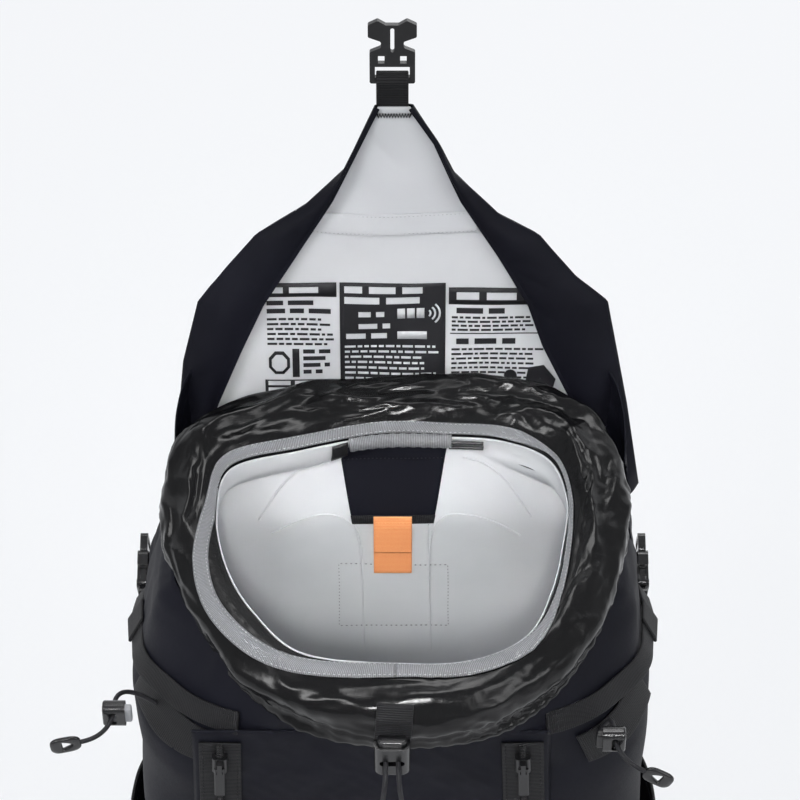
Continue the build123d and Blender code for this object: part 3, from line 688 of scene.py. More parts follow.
# ---------------------------------------------------------------- bag body
@dataclass
class BagBody:
    """Main fabric body: shell, boot and pockets."""

    levels: tuple = ((0.0015, .142, .087, .040, 0), (.005, .149, .094, .044, 0),
                     (.018, .1585, .1035, .053, 0), (.08, .1605, .1055, .056, 0), (.2, .161, .1065, .058, 0),
                     (.33, .1605, .106, .057, 0), (.395, .1598, .1052, .056, 0),
                     (.412, .1585, .1045, .057, -.0005), (.43, .1505, .103, .062, -.004),
                     (.45, .1395, .101, .068, -.0085), (.47, .127, .0975, .075, -.0133),
                     (.487, .1165, .094, .081, -.0172), (.4995, .108, .091, .086, -.02))
    fabric: float = 1.6 * MM
    columns: int = 288

    full: tuple = ((.08, 0), (.20, .003), (.395, .004), (.43, .009), (.45, .016), (.47, .024), (.487, .028),
                   (.4995, .026))

    def section(self, z: Array) -> tuple[Array, Array, Array, Array]:
        """Half width, half depth, corner radius and centre of the plan at heights z."""
        table = np.array(self.levels)
        return tuple(np.interp(z, table[:, 0], table[:, k]) for k in (1, 2, 3, 4))

    def skin(self, u: Array, z: Array, out: Array | float = 0.0) -> Array:
        """Point on the skin: a rounded rectangle walked by arc length, u 0 to 1 from the front's middle.

        Args:
            u: Share of the way round, rising towards +X.
            z: Height.
            out: Distance outside the skin.

        Returns:
            Points.
        """
        u, z = np.broadcast_arrays(np.asarray(u, float), np.asarray(z, float))
        a, b, r, cy = self.section(z)
        a, b, r = a + out, b + out, r + out
        flat_x, flat_y = a - r, b - r
        arc = r * math.pi / 2
        total = 4 * (flat_x + flat_y + arc)
        t = (u % 1.0) * total
        half = t > total / 2
        t = np.where(half, total - t, t)
        x = np.zeros_like(t)
        y = np.zeros_like(t)
        ends = np.stack([flat_x, flat_x + arc, flat_x + arc + 2 * flat_y,
                         flat_x + 2 * arc + 2 * flat_y])
        s1 = t <= ends[0]
        s2 = (t > ends[0]) & (t <= ends[1])
        s3 = (t > ends[1]) & (t <= ends[2])
        s4 = (t > ends[2]) & (t <= ends[3])
        s5 = t > ends[3]
        p = (t - ends[0]) / r
        q = (t - ends[2]) / r
        x = np.where(s1, t, x)
        y = np.where(s1, -b, y)
        x = np.where(s2, flat_x + r * np.sin(p), x)
        y = np.where(s2, -flat_y - r * np.cos(p), y)
        x = np.where(s3, a, x)
        y = np.where(s3, -flat_y + (t - ends[1]), y)
        x = np.where(s4, flat_x + r * np.cos(q), x)
        y = np.where(s4, flat_y + r * np.sin(q), y)
        x = np.where(s5, flat_x - (t - ends[3]), x)
        y = np.where(s5, b, y)
        x = np.where(half, -x, x)
        table = np.array(self.full)
        side = np.clip((np.abs(x) / a - .55) / .4, 0, 1)
        front = np.clip((y + cy + .075) / .05, 0, 1)
        low = np.clip((z - .40) / .03, 0, 1)
        back = 1 - np.clip((y + cy - .015) / .02, 0, 1) * (1 - low)
        swell = np.interp(z, table[:, 0], table[:, 1]) * side * front * (3 - 2 * front) * front * back
        rear = np.interp(z, [.41, .45, .4995], [0, .007, .0165]) * np.clip((y + cy) / .045, 0, 1)
        return np.stack([x + np.sign(x) * swell, y + cy + rear, z], axis=-1)

    def build(self) -> None:
        """Make and dress the shell, the floor, the boot and the pockets."""
        rows = 150
        z = np.concatenate([np.linspace(.0015, .02, 10), np.linspace(.024, .4995, rows - 10)])[:, None]
        u = (np.arange(self.columns) / self.columns)[None, :]
        t = z / 0.5
        puff = waves(u, t * 1.4, 3, 8, 1, 5, True) * 1.3 + crumple(u, t, 5, 9, 4, True) * .8
        near_top = np.clip((z - .36) / .12, 0, 1)
        puff = puff + crumple(u, t * 1.2, 9, 22, 9, True) * near_top * 1.3
        points = self.skin(u, z, puff * MM)
        shell = surface("bag_body", points, True, self.fabric, flip=False)
        dress(shell, Look.SHELL, "pack", ("bag_shell",))
        floor_rows = np.linspace(0.0, 1.0, 12)[::-1]
        ring = self.skin(u[0], np.full(self.columns, .0017))
        centre = ring.mean(0)
        disc = centre + (ring - centre)[None] * np.maximum(floor_rows, 0.002)[:, None, None]
        floor = surface("bag_floor", disc[::-1], True, 1.2 * MM)
        dress(floor, Look.SHELL, "pack")
        self.boot()
        self.side_pockets()

    def boot(self) -> None:
        """Tough boot that wraps the foot of the bag."""
        u = (np.arange(self.columns) / self.columns)[None, :]
        z = np.linspace(.0, .062, 30)[:, None]
        lift = np.clip(z, .0016, 1)
        points = self.skin(u, lift, 1.5 * MM)
        points[..., 2] = z
        boot = surface("boot", points, True, 1.2 * MM)
        dress(boot, Look.FOAM, "pack", ("base_boot",))
        ring = self.skin(u[0], np.full(self.columns, .0018), 1.4 * MM)
        ring[:, 2] = .0006
        centre = ring.mean(0)
        rows = np.linspace(0.002, 1.0, 12)
        disc = centre + (ring - centre)[None] * rows[:, None, None]
        sole = surface("boot_sole", disc, True, 0.5 * MM)
        dress(sole, Look.FOAM, "pack")
        edge = self.skin(u[0], np.full(self.columns, .062), 2.1 * MM)
        dress(swept("boot_binding", edge, UP, flat_profile(9 * MM, 1.2 * MM), True), Look.WEBBING,
              "pack")

    def side_pockets(self) -> None:
        """Stretch pockets whose mouths stand off both sides."""
        for sign, name in ((-1, "left"), (1, "right")):
            v = np.linspace(0, 1, 50)[:, None]
            w = np.linspace(0, 1, 60)[None, :]
            y = -.070 + .120 * w + 0 * v
            z = .070 + .160 * v + 0 * w
            cross = np.sin(math.pi * w) ** 0.45
            out = (.002 + (.006 + .010 * v) * cross) + waves(w, v, 21 + sign, 6, 1, 4) * .001 * cross
            x = sign * (.1612 + out)
            points = np.stack([x + 0 * z, y, z], axis=-1)
            pocket = surface(f"side_pocket_{name}", points, False, 1.4 * MM, flip=sign < 0)
            dress(pocket, Look.FOAM, "pack", ("side_pockets",) if sign < 0 else ())
            lip = points[-1] + np.array([0, 0, .001])
            dress(swept(f"side_pocket_hem_{name}", lip, UP, flat_profile(11 * MM, 2.4 * MM)),
                  Look.WEBBING, "pack")


@dataclass
class FrontPanel:
    """Tool pocket on the front, with a coil zip down each side."""

    face: float = .111
    low: float = .072
    high: float = .452
    foot: tuple = (-.133, .111)
    top: tuple = (-.123, .097)
    zips: tuple = (("left", -.116, -.106), ("right", .094, .080))
    zip_low: float = .096
    zip_high: float = .442

    def point(self, x: Array, z: Array, body: BagBody, lift: float = 0.0) -> Array:
        """Point on the pocket's puffed face: flat in the middle, falling to the bag at its edges."""
        t = np.clip((z - self.low) / (self.high - self.low), 0, 1)
        left = self.foot[0] + (self.top[0] - self.foot[0]) * t
        right = self.foot[1] + (self.top[1] - self.foot[1]) * t
        s = np.clip((x - left) / (right - left), 0, 1)
        edge = np.clip(np.minimum(s, 1 - s) / .07, 0, 1)
        ends = np.clip(np.minimum(t, 1 - t) / .03, 0, 1)
        rise = np.sqrt(np.clip(edge * (2 - edge), 0, 1)) * np.sqrt(np.clip(ends * (2 - ends), 0, 1))
        _, b, _, cy = body.section(z)
        base = -(b - cy) - .0008
        puff = .0012 * waves(s, t * 2, 41, 6, 1, 4) + .001 * creases(s, t * 2, 43, 3, 2, 7)
        face = -self.face + puff * edge
        y = base + (np.minimum(face, base - .0004) - base) * rise - lift
        return np.stack(np.broadcast_arrays(x, y, z), axis=-1)

    def build(self, body: BagBody) -> None:
        """Make the pocket's face, its edge seams, and the two zips."""
        v = np.linspace(0, 1, 160)[:, None]
        s = np.linspace(0, 1, 100)[None, :]
        z = self.low + (self.high - self.low) * v + 0 * s
        left = self.foot[0] + (self.top[0] - self.foot[0]) * v
        right = self.foot[1] + (self.top[1] - self.foot[1]) * v
        x = left + (right - left) * s
        panel = surface("front_pocket_face", self.point(x, z, body), False, 1.2 * MM, flip=False)
        dress(panel, Look.SHELL, "pack", ("front_pocket",))
        for name, foot, top in self.zips:
            z = np.linspace(self.zip_low, self.zip_high, 120)
            x = foot + (top - foot) * (z - self.zip_low) / (self.zip_high - self.zip_low)
            line = self.point(x, z, body, .0008)
            line[:, 1] = np.minimum(line[:, 1], -.1116)
            across = np.tile([1.0, 0, 0], (len(line), 1))
            tape = swept(f"zip_tape_{name}", line, across, flat_profile(26 * MM, 1.0 * MM))
            dress(tape, Look.WEBBING, "pack", ("front_zips",) if name == "left" else ())
            coil = line + np.array([0, -.0022, 0])
            turns = int((self.zip_high - self.zip_low) / .0016)
            phase = np.linspace(0, turns * 2 * math.pi, turns * 8)
            along = np.linspace(0, 1, len(phase))
            spot = np.stack([np.interp(along, np.linspace(0, 1, 120), coil[:, k]) for k in range(3)], axis=1)
            spot[:, 0] += np.cos(phase) * 2.0 * MM
            spot[:, 1] += np.sin(phase) * 1.2 * MM
            dress(swept(f"zip_coil_{name}", spot, UP, round_profile(.45 * MM, 5)), Look.HARD, "pack")
            for side in (-1, 1):
                row = line + np.array([side * 10.6 * MM, -.0006, 0])
                dress(stitches(f"zip_stitch_{name}_{'a' if side < 0 else 'b'}", row, 3 * MM, (0, -1, 0)),
                      Look.CORD, "pack")


# ---------------------------------------------------------------- collar and mouth
@dataclass
class Collar:
    """Collar rolled out over the rim, with its drawcord hem, and the grey tape of the mouth's seam.

    Each ring has 16 stations, from the front's middle over the right side.
    """

    rim: tuple = ((.003, -.1095), (.047, -.1075), (.082, -.088), (.100, -.050), (.109, -.005), (.111, .030),
                  (.100, .062), (.070, .0785), (.030, .0825), (-.012, .082), (-.060, .070), (-.104, .054),
                  (-.112, .015), (-.104, -.030), (-.086, -.068), (-.055, -.101))
    crest: tuple = ((.003, -.123, .5125), (.050, -.119, .5125), (.089, -.097, .5125), (.112, -.055, .514),
                    (.124, -.005, .516), (.128, .040, .519), (.117, .083, .523), (.087, .1025, .5255),
                    (.050, .109, .526), (-.008, .1085, .5255), (-.066, .102, .5255), (-.121, .077, .524),
                    (-.130, .020, .515), (-.122, -.030, .513), (-.101, -.075, .5125), (-.063, -.111, .512))
    outer: tuple = ((.000, -.1425, .4815), (.060, -.1345, .4815), (.100, -.102, .482), (.131, -.048, .484),
                    (.144, .004, .489), (.1475, .045, .498), (.133, .088, .508), (.097, .109, .514),
                    (.052, .1155, .517), (-.008, .1145, .516), (-.066, .109, .513), (-.131, .080, .507),
                    (-.141, .028, .500), (-.131, -.022, .490), (-.106, -.078, .482), (-.062, -.124, .481))
    tape_gap: tuple = (.0052, .0052, .005, .004, .002, .002, .0035, .0045, .0045, .0045, .0045, .004, .003,
                       .015,
                       .018, .010)
    columns: int = 500
    rows: int = 78

    def cloth(self) -> Array:
        """The collar's cloth: rows from the mouth's seam over the crest to the hem, columns round it."""
        rings = [loop_curve(self.rim, self.columns), loop_curve(self.crest, self.columns),
                 loop_curve(self.outer, self.columns)]
        rim = np.c_[rings[0] * .995, np.full(self.columns, .5134)]
        crest, hem = rings[1], rings[2]
        foot = hem + np.array([0, 0, -.006])
        out = unit(np.c_[hem[:, 0], hem[:, 1] + .02, np.zeros(self.columns)])
        belly = (crest + hem) / 2 + out * .008 + np.array([0, 0, .004])
        knots = np.stack([rim, rim * .5 + crest * .5 + np.array([0, 0, .0015]), crest, belly, hem,
                          foot - out * .004])
        t = np.linspace(0, 5 - 1e-9, self.rows)
        ext = np.concatenate([[2 * knots[0] - knots[1]], knots, [2 * knots[-1] - knots[-2]]])
        i = np.floor(t).astype(int)
        f = (t - i)[:, None, None]
        a, b, c, d = (ext[i + k] for k in range(4))
        base = catmull(a, b, c, d, f)
        u, v = (np.arange(self.columns) / self.columns)[None, :], np.linspace(0, 1, self.rows)[:, None]
        gap = loop_curve(np.array(self.tape_gap)[:, None], self.columns)[:, 0]
        far = np.linalg.norm(base - base[:1], axis=2)
        calm = np.clip((far - gap[None, :] - .004) / .010, 0, 1)
        long = crumple(u, v, 61, 9, 2.6, True, 1.1) * .6 + lattice(u * 8 + v, v * 3.4, 62, 8) * .7
        mid = crumple(u, v, 67, 20, 5.2, True, 1.1) * .7 + lattice(u * 26 + v * 2, v * 7, 68, 26) * .4
        fine = crumple(u, v, 73, 64, 12, True, .8)
        gather = np.cos(u * 2 * math.pi * 88 + 2.2 * lattice(u * 9, v * 3, 79, 9))
        hem_zone = np.exp(-((v - .80) / .07) ** 2)
        lift = (long * 5.4 + mid * 2.0 + fine * .3) * calm + gather * .45 * np.clip((v - .6) / .2, 0, 1)
        lift = lift - 1.1 * hem_zone - 1.2 * np.exp(-((v - .735) / .012) ** 2)
        lift = lift * np.clip((1 - v) / .05, .1, 1) + .1 * fine
        down, along = np.gradient(base, axis=0), np.roll(base, -1, axis=1) - np.roll(base, 1, axis=1)
        normal = unit(np.cross(along, down))
        normal = normal * np.sign(normal[..., 2:] + np.sum(normal * out, axis=2, keepdims=True) * .8)
        return base + normal * lift[..., None] * MM

    def build(self) -> None:
        """Make the collar's cloth, the hem's roll, the tape and the stitched details."""
        points = self.cloth()
        cloth = surface("collar_cloth", points, True, 0.9 * MM, flip=True)
        dress(cloth, Look.COLLAR, "pack", ("collar",))
        u = np.arange(self.columns) / self.columns
        swell = 1 + .10 * np.cos(u * 2 * math.pi * 88) + .10 * lattice(u * 20, u * 0, 71, 20)
        dress(swept("collar_hem", points[-1] + np.array([0, 0, .001]), UP,
                    round_profile(3.4 * MM, 12), True, np.stack([swell, swell], axis=1)), Look.COLLAR, "pack")
        self.tape(points)
        self.patches(points)

    def on_cloth(self, points: Array, far: Array, lift: float) -> Array:
        """Points on the cloth at a run from the seam, one for each column.

        Args:
            points: The cloth's grid.
            far: Run from the seam at each column.
            lift: Height off the cloth.

        Returns:
            A ring of points.
        """
        step = np.linalg.norm(np.diff(points, axis=0), axis=2)
        run = np.concatenate([np.zeros((1, self.columns)), np.cumsum(step, axis=0)])
        row = np.argmax(run >= far[None, :], axis=0).clip(1)
        cols = np.arange(self.columns)
        low, high = run[row - 1, cols], run[row, cols]
        part = np.clip((far - low) / np.maximum(high - low, 1e-9), 0, 1)[:, None]
        spot = points[row - 1, cols] * (1 - part) + points[row, cols] * part
        side = points[row, cols] - points[row - 1, cols]
        along = np.roll(spot, -1, axis=0) - np.roll(spot, 1, axis=0)
        normal = unit(np.cross(along, side))
        return spot + normal * np.sign(normal[:, 2:]) * lift

    def tape(self, points: Array) -> None:
        """Ribbed grey tape over the mouth's seam, narrower on the right; it leaves the edge at the left."""
        gap = loop_curve(np.array(self.tape_gap)[:, None], self.columns)[:, 0]
        u = np.arange(self.columns) / self.columns
        gap = gap + lattice(u * 14, u * 0, 83, 14) * .0008
        half = np.interp(points[0, :, 1], [-.08, .03], [.0056, .0042])
        half = half * np.interp(points[0, :, 0], [.078, .098], [1.0, .38])
        rings = [self.on_cloth(points, np.maximum(gap + k * half, 0),
                               .0019 - .0006 * k * k) for k in np.linspace(-1, 1, 9)]
        strip = np.stack(rings)
        dress(surface("mouth_binding", strip, True, 1.0 * MM, flip=True), Look.TAPE, "pack", ("collar_tape",))
        for k in (1, 7):
            row = strip[k] + np.array([0, 0, .0003])
            dress(stitches(f"mouth_stitch_{k}", np.vstack([row, row[:1]]), 3 * MM, (0, 0, 1), .35 * MM),
                  Look.LINING,
                  "pack")

    def patches(self, points: Array) -> None:
        """Webbing patch sewn over the hem: the lock's at the front."""
        front = points[int(self.rows * .52):int(self.rows * .84), 0] + np.array([0, -.0016, .0016])
        line = open_curve(front[::3], 24)
        dress(ribbon("collar_front_patch", line, 22 * MM, 1.4 * MM, (1, 0, 0), 24), Look.WEBBING, "pack")


@dataclass
class MouthLining:
    """Silver lining inside the mouth, with its back wall, window, stitched outline and wire sleeve."""

    collar: Collar
    body: BagBody
    centre: float = -.02
    panel: float = .0588
    columns: int = 360

    def polar(self, plan: Array) -> tuple[Array, Array]:
        """Angles and radii of a closed plan about the mouth's centre, sorted by angle."""
        angle = np.arctan2(plan[:, 1] - self.centre, plan[:, 0])
        order = np.argsort(angle)
        return angle[order], np.hypot(plan[order, 0], plan[order, 1] - self.centre)

    def radius(self, angle: Array, plan: Array) -> Array:
        """Radius of a closed plan at these angles."""
        a, r = self.polar(plan)
        return np.interp(angle, np.r_[a - 2 * math.pi, a, a + 2 * math.pi], np.r_[r, r, r])

    def back_wall(self, z: Array) -> Array:
        """Depth of the back wall: flat below, leaning back to the wire at the top."""
        t = np.clip((z - .452) / .062, 0, 1)
        return self.panel + .0235 * t * t * (3 - 2 * t)

    def point(self, angle: Array, z: Array, lift: float | Array = 0.0) -> Array:
        """Point on the lining: the skin's inside below, the bound edge's plan at the top.

        Args:
            angle: Angle about the mouth's centre.
            z: Height.
            lift: Distance off the cloth, towards the middle.

        Returns:
            Points.
        """
        angle, z = np.broadcast_arrays(np.asarray(angle, float), np.asarray(z, float))
        rim = self.radius(angle, loop_curve(self.collar.rim, 400)) - .0012
        levels = np.array([.02, .1, .2, .3, .38, .41, .43, .45, .47, .487, .5])
        u = np.arange(400) / 400
        table = np.stack([self.radius(angle[0] if angle.ndim == 2 else angle,
                                      self.body.skin(u, np.full(400, k), -.0035)[:, :2])
                          for k in levels])
        index = np.interp(z, levels, np.arange(len(levels)))
        low = np.clip(np.floor(index).astype(int), 0, len(levels) - 2)
        part = index - low
        if angle.ndim == 2:
            cols = np.broadcast_to(np.arange(angle.shape[1])[None, :], angle.shape)
        else:
            cols = np.arange(len(angle))
        skin = table[low, cols] * (1 - part) + table[low + 1, cols] * part
        t = np.clip((z - .475) / .034, 0, 1)
        t = t * t * (3 - 2 * t)
        r = skin * (1 - t) + rim * t
        share = angle / (2 * math.pi)
        depth = np.clip((.518 - z) / .02, 0, 1)
        fold = waves(share, z * 3.2, 91, 7, 1, 6, True) * 1.6 + crumple(share + .5, z * 2, 93, 12, 8,
                                                                        True) * .9
        y_limit = self.back_wall(z) + .0006
        sin = np.sin(angle)
        wall = np.where(sin > .05, (y_limit - self.centre) / np.maximum(sin, .05), 9.0)
        on_wall = np.clip((r - wall) / .004 + .5, 0, 1)
        r = np.minimum(r, wall)
        r = r - (fold * depth * (1 - .55 * on_wall)) * MM - .001 * depth - lift
        return np.stack([r * np.cos(angle), self.centre + r * np.sin(angle), z + 0 * r], axis=-1)

    def wall(self, x: Array, z: Array, lift: float = 0.0) -> Array:
        """Point on the back wall at this X and height."""
        x, z = np.broadcast_arrays(np.asarray(x, float), np.asarray(z, float))
        shape = x.shape
        flat_x, flat_z = x.ravel(), z.ravel()
        angle = np.arctan2(self.back_wall(flat_z) - self.centre, flat_x)
        return self.point(angle, flat_z, lift).reshape(*shape, 3)

    def patch(self, name: str, corners: tuple, rows: int, cols: int, lift: float,
              thick: float) -> bpy.types.Object:
        """Patch on the back wall between corners, X and Z: low left, low right, high left, high right."""
        (ax, az), (bx, bz), (cx, cz), (dx, dz) = corners
        v = np.linspace(0, 1, rows)[:, None]
        s = np.linspace(0, 1, cols)[None, :]
        x = (ax * (1 - s) + bx * s) * (1 - v) + (cx * (1 - s) + dx * s) * v
        z = (az * (1 - s) + bz * s) * (1 - v) + (cz * (1 - s) + dz * s) * v
        return surface(name, self.wall(x, z, lift), False, thick, flip=False)

    def build(self) -> None:
        """Make the lining and everything sewn to its back wall."""
        angle = (np.arange(self.columns) / self.columns * 2 * math.pi - math.pi)[None, :]
        z = np.concatenate([np.linspace(.5130, .44, 46), np.linspace(.436, .30, 44),
                            np.linspace(.29, .02, 24)])[:, None]
        points = self.point(angle, z)
        lining = surface("mouth_lining", points, True, .8 * MM, flip=True)
        dress(lining, Look.LINING, "pack", ("lining_panel",))
        ring = points[-1]
        centre = ring.mean(0)
        rows = np.linspace(1.0, 0.003, 14)
        disc = centre + (ring - centre)[None] * rows[:, None, None]
        dress(surface("lining_floor", disc, True, .8 * MM, flip=True), Look.LINING, "pack")
        window = self.patch("window_flap_cloth", ((-.027, .4575), (.027, .4575), (-.036, .508), (.036, .508)),
                            24, 30, .0012, 1.0 * MM)
        dress(window, Look.SHELL, "pack", ("window_flap",))
        line = self.wall(np.linspace(-.034, .034, 40), np.full(40, .4985), .0026)
        dress(stitches("window_seam", line, 2.6 * MM, (0, -.7, .7)), Look.CORD, "pack")
        band = self.patch("window_hem", ((-.0275, .4568), (.0275, .4568), (-.0285, .4628), (.0285, .4628)),
                          4, 30, .0026, .8 * MM)
        dress(band, Look.WEBBING, "pack")
        self.outline()
        self.sleeve()

    def outline(self) -> None:
        """Stitched box under the tab, the flap's seams beside the window, and the side arcs."""
        runs = {
            "box_low": [(-.037, .354), (.038, .354)],
            "box_high": [(-.036, .416), (.037, .416)],
            "box_left": [(-.036, .416), (-.037, .354)],
            "box_right": [(.037, .416), (.038, .354)],
            "seam_left": [(-.0255, .455), (-.021, .418), (-.020, .33)],
            "seam_right": [(.0235, .455), (.024, .418), (.026, .33)],
            "arc_left": [(-.020, .40), (-.022, .443), (-.030, .458), (-.044, .463), (-.062, .458),
                         (-.080, .446)],
            "arc_right": [(.024, .40), (.026, .445), (.034, .461), (.050, .462), (.068, .456), (.084, .444)],
            "flap_left": [(-.043, .497), (-.060, .491), (-.075, .478), (-.088, .458)],
            "flap_right": [(.046, .498), (.062, .493), (.078, .480), (.091, .460)],
        }
        for name, points in runs.items():
            line = open_curve(np.array(points), 50)
            path = self.wall(line[:, 0], line[:, 1], .0013)
            dress(stitches(f"lining_{name}", path, 3.2 * MM, (0, -.8, .6), .75 * MM, .6), Look.TAPE, "pack")
            if name.startswith(("seam", "arc", "flap")):
                dress(swept(f"lining_fold_{name}", path - np.array([0, .0002, 0]), (0, -1.0, 0),
                            round_profile(.7 * MM, 6)), Look.LINING, "pack")

    def sleeve(self) -> None:
        """Sleeve of the spring wire behind the mouth, its dark end cover and the wire's bare rods."""
        x = np.linspace(-.030, .040, 40)
        path = self.wall(x, np.full(40, .5118), .004)
        path[:, 2] = path[:, 2] + .001
        swell = 1 + .05 * np.cos(x * 900)
        dress(swept("wire_sleeve", path, UP, round_profile(5.0 * MM, 14), False,
                    np.stack([swell, swell * .8], axis=1)), Look.TAPE, "pack", ("wire_tunnel",))
        dark = self.patch("wire_end_cover", ((-.043, .500), (-.031, .503), (-.043, .512), (-.031, .5135)),
                          6, 8, .003,
                          1.2 * MM)
        dress(dark, Look.HARD, "pack")
        for k, z in enumerate((.5075, .5115)):
            xs = np.linspace(.038, .062, 16)
            rod = self.wall(xs, np.full(16, z), .004)
            dress(swept(f"wire_visible_{k}", rod, UP, round_profile(1.3 * MM, 8)), Look.WIRE,
                  "pack", ("frame_wire",) if k else ())


# ---------------------------------------------------------------- tilting lid
@dataclass
class Lid:
    """Kite-shaped lid, leaning back on its hinge: outer hood, silver lining, print and webbing."""

    hinge_y: float = .1086
    hinge_z: float = .5128
    lean: float = math.radians(-104)
    length: float = .206
    lining: float = .0176
    wide: tuple = (((-.061, .1425), (-.030, .141), (.024, .135), (.069, .124), (.091, .107), (.116, .087),
                    (.137, .055), (.162, .030), (.206, .0105)),
                   ((-.061, .161), (-.007, .152), (.069, .137), (.087, .116), (.116, .093), (.130, .068),
                    (.159, .039), (.180, .029), (.206, .0125)))
    edge: tuple = (((-.061, .131), (-.030, .124), (-.007, .116), (.035, .099), (.069, .084), (.144, .039),
                    (.206, .0095)),
                   ((-.061, .150), (-.030, .130), (-.014, .123), (.009, .112), (.039, .098), (.069, .088),
                    (.105, .068), (.144, .044), (.183, .027), (.206, .0115)))
    foot: tuple = (-.030, -.060)

    def place(self, x: Array, s: Array, h: Array) -> Array:
        """Point from the closed lid's own X, distance from the hinge and height, turned to rest."""
        x, s, h = np.broadcast_arrays(np.asarray(x, float), np.asarray(s, float), np.asarray(h, float))
        c, k = math.cos(self.lean), math.sin(self.lean)
        return np.stack([x, self.hinge_y - s * c - h * k, self.hinge_z - s * k + h * c], axis=-1)

    def half(self, s: Array, table: tuple) -> Array:
        """Half width at a distance from the hinge."""
        t = np.array(table)
        return np.interp(s, t[:, 0], t[:, 1])

    def sag(self, x: Array, s: Array) -> Array:
        """Height of the lining's soft folds: long waves that run from the hem to the tip."""
        u, v = x / .3 + .5, s / .24 + .3
        tip = np.clip((s - .10) / .05, 0, 1)
        fold = waves(u, v, 101, 7, 1, 4) * .9 + crumple(u, v, 103, 5, 3) * (.35 + 1.5 * tip)
        fade = np.clip((s + .02) / .02, 0, 1) * np.clip((self.length - s) / .02, 0, 1)
        return fold * fade * MM

    def lining_point(self, x: Array, s: Array, lift: float = 0.0) -> Array:
        """Point on the lining; lift goes towards the front."""
        return self.place(x, s, self.lining + self.sag(x, s) - lift)

    def build(self) -> None:
        """Make the hood, the lining, the pocket band, the print and the hook's webbing."""
        s = np.linspace(-.020, self.length, 130)[:, None]
        t = np.linspace(0, 1, 150)[None, :]
        left, right = (self.half(s, table) - .0015 for table in self.wide)
        x = -left + (left + right) * t
        dress(surface("lid_lining", self.lining_point(x, s), False, .6 * MM, flip=False), Look.LINING, "lid")
        self.hood()
        self.band()
        self.print_block()
        self.webbing()

    def hood(self) -> None:
        """Outer cloth: at each station from the free edge, out round the side, and over the back."""
        a = np.linspace(0, 1, 30)[None, :]
        b = np.linspace(0, 1, 40)[None, 1:]
        for k, (sign, name) in enumerate(((-1, "left"), (1, "right"))):
            centre = np.concatenate([np.ones_like(a), 1 - np.clip(b / .45, 0, 1)], axis=1)
            low = -.014 + (self.foot[k] + .014) * centre
            s = low + (self.length - low) * np.linspace(0, 1, 140)[:, None]
            wide, free = self.half(s, self.wide[k]), self.half(s, self.edge[k])
            wide_a, free_a, s_a = wide[:, :30], free[:, :30], s[:, :30]
            taper = np.clip((self.length - s) / .05, .15, 1)
            below = np.clip(-s_a / .05, 0, 1) ** 2
            puff = np.sin(a * math.pi) * .0035
            roll_x = free_a + (wide_a - free_a) * a
            roll_h = (self.lining - .0012 - .0045 * taper[:, :30] * (1 - a) - puff * taper[:, :30]
                      - .030 * below * (1 - a * .5))
            back_x = wide[:, 30:] * (1 - b)
            back_h = (self.lining + .0012) + (.0052 * taper[:, 30:] + .002) * np.sin(b * math.pi / 2) ** .7
            x = np.concatenate([roll_x, back_x], axis=1)
            h = np.concatenate([roll_h, back_h], axis=1)
            u, v = x / .3, s / .24 + .4
            fold = waves(u * 1.6, v * 1.5, 111 + sign, 7, 1, 5) * .9
            fold = fold + crumple(u * 2, v, 115 + sign, 4, 4)
            keep = np.concatenate([np.clip(a / .12, .3, 1) + 0 * s_a, np.ones_like(b) + 0 * s[:, 30:]],
                                  axis=1)
            front = np.concatenate([np.ones_like(a), np.full_like(b, -1.0)], axis=1)
            h = h - np.abs(fold) * keep * front * MM * .8
            points = self.place(sign * x, s, h)
            half_hood = surface(f"lid_hood_{name}", points, False, 1.0 * MM, flip=sign > 0)
            dress(half_hood, Look.SHELL, "lid", ("lid_shell", "lid_wings") if sign < 0 else ())
            rim = points[:, 0] + np.array([0, -.0005, 0])
            dress(swept(f"lid_hem_{name}", rim, (sign * 1.0, 0, 0), flat_profile(3.4 * MM, 1.6 * MM)),
                  Look.SHELL, "lid")
            seam = points[14:-14, 4] + np.array([0, -.0005, 0])
            dress(stitches(f"lid_seam_{name}", seam, 3 * MM, (0, -1, .3), .3 * MM), Look.CORD, "lid")

    def band(self) -> None:
        """Folded band over the mouth of the lid's inner pocket, of the lining's own cloth."""
        x = np.linspace(-.062, .054, 60)
        s = np.full(60, .124) + .003 * ((x + .004) / .06) ** 2
        path = self.lining_point(x, s, .0012)
        up = self.place(0, 1, 0) - self.place(0, 0, 0)
        dress(swept("lid_pocket_binding", path, up, flat_profile(15 * MM, 1.4 * MM)), Look.LINING, "lid",
              ("lid_pocket_band",))
        for k, offset in enumerate((-.0062, .0062)):
            line = self.lining_point(x, s + offset, .0021)
            dress(stitches(f"lid_pocket_stitch_{k}", line, 2.6 * MM, (0, -1, .3), .3 * MM), Look.TAPE, "lid")

    def shape(self, outline: list | Array, name: str, look: Look, lift: float = .0005) -> None:
        """Flat printed shape on the lining: its outline is joined to its middle by rings."""
        points = np.asarray(outline, float)
        dense = []
        for k, p in enumerate(points):
            q = points[(k + 1) % len(points)]
            steps = max(int(np.hypot(*(q - p)) / .003), 1)
            dense.append(p + (q - p) * (np.arange(steps) / steps)[:, None])
        ring = np.vstack(dense)
        centre = points.mean(0)
        rows = np.linspace(0.001, 1, 9)[:, None, None]
        plan = centre + (ring - centre)[None] * rows
        dress(surface(name, self.lining_point(plan[..., 0], plan[..., 1], lift), True, 0.15 * MM), look,
              "lid")

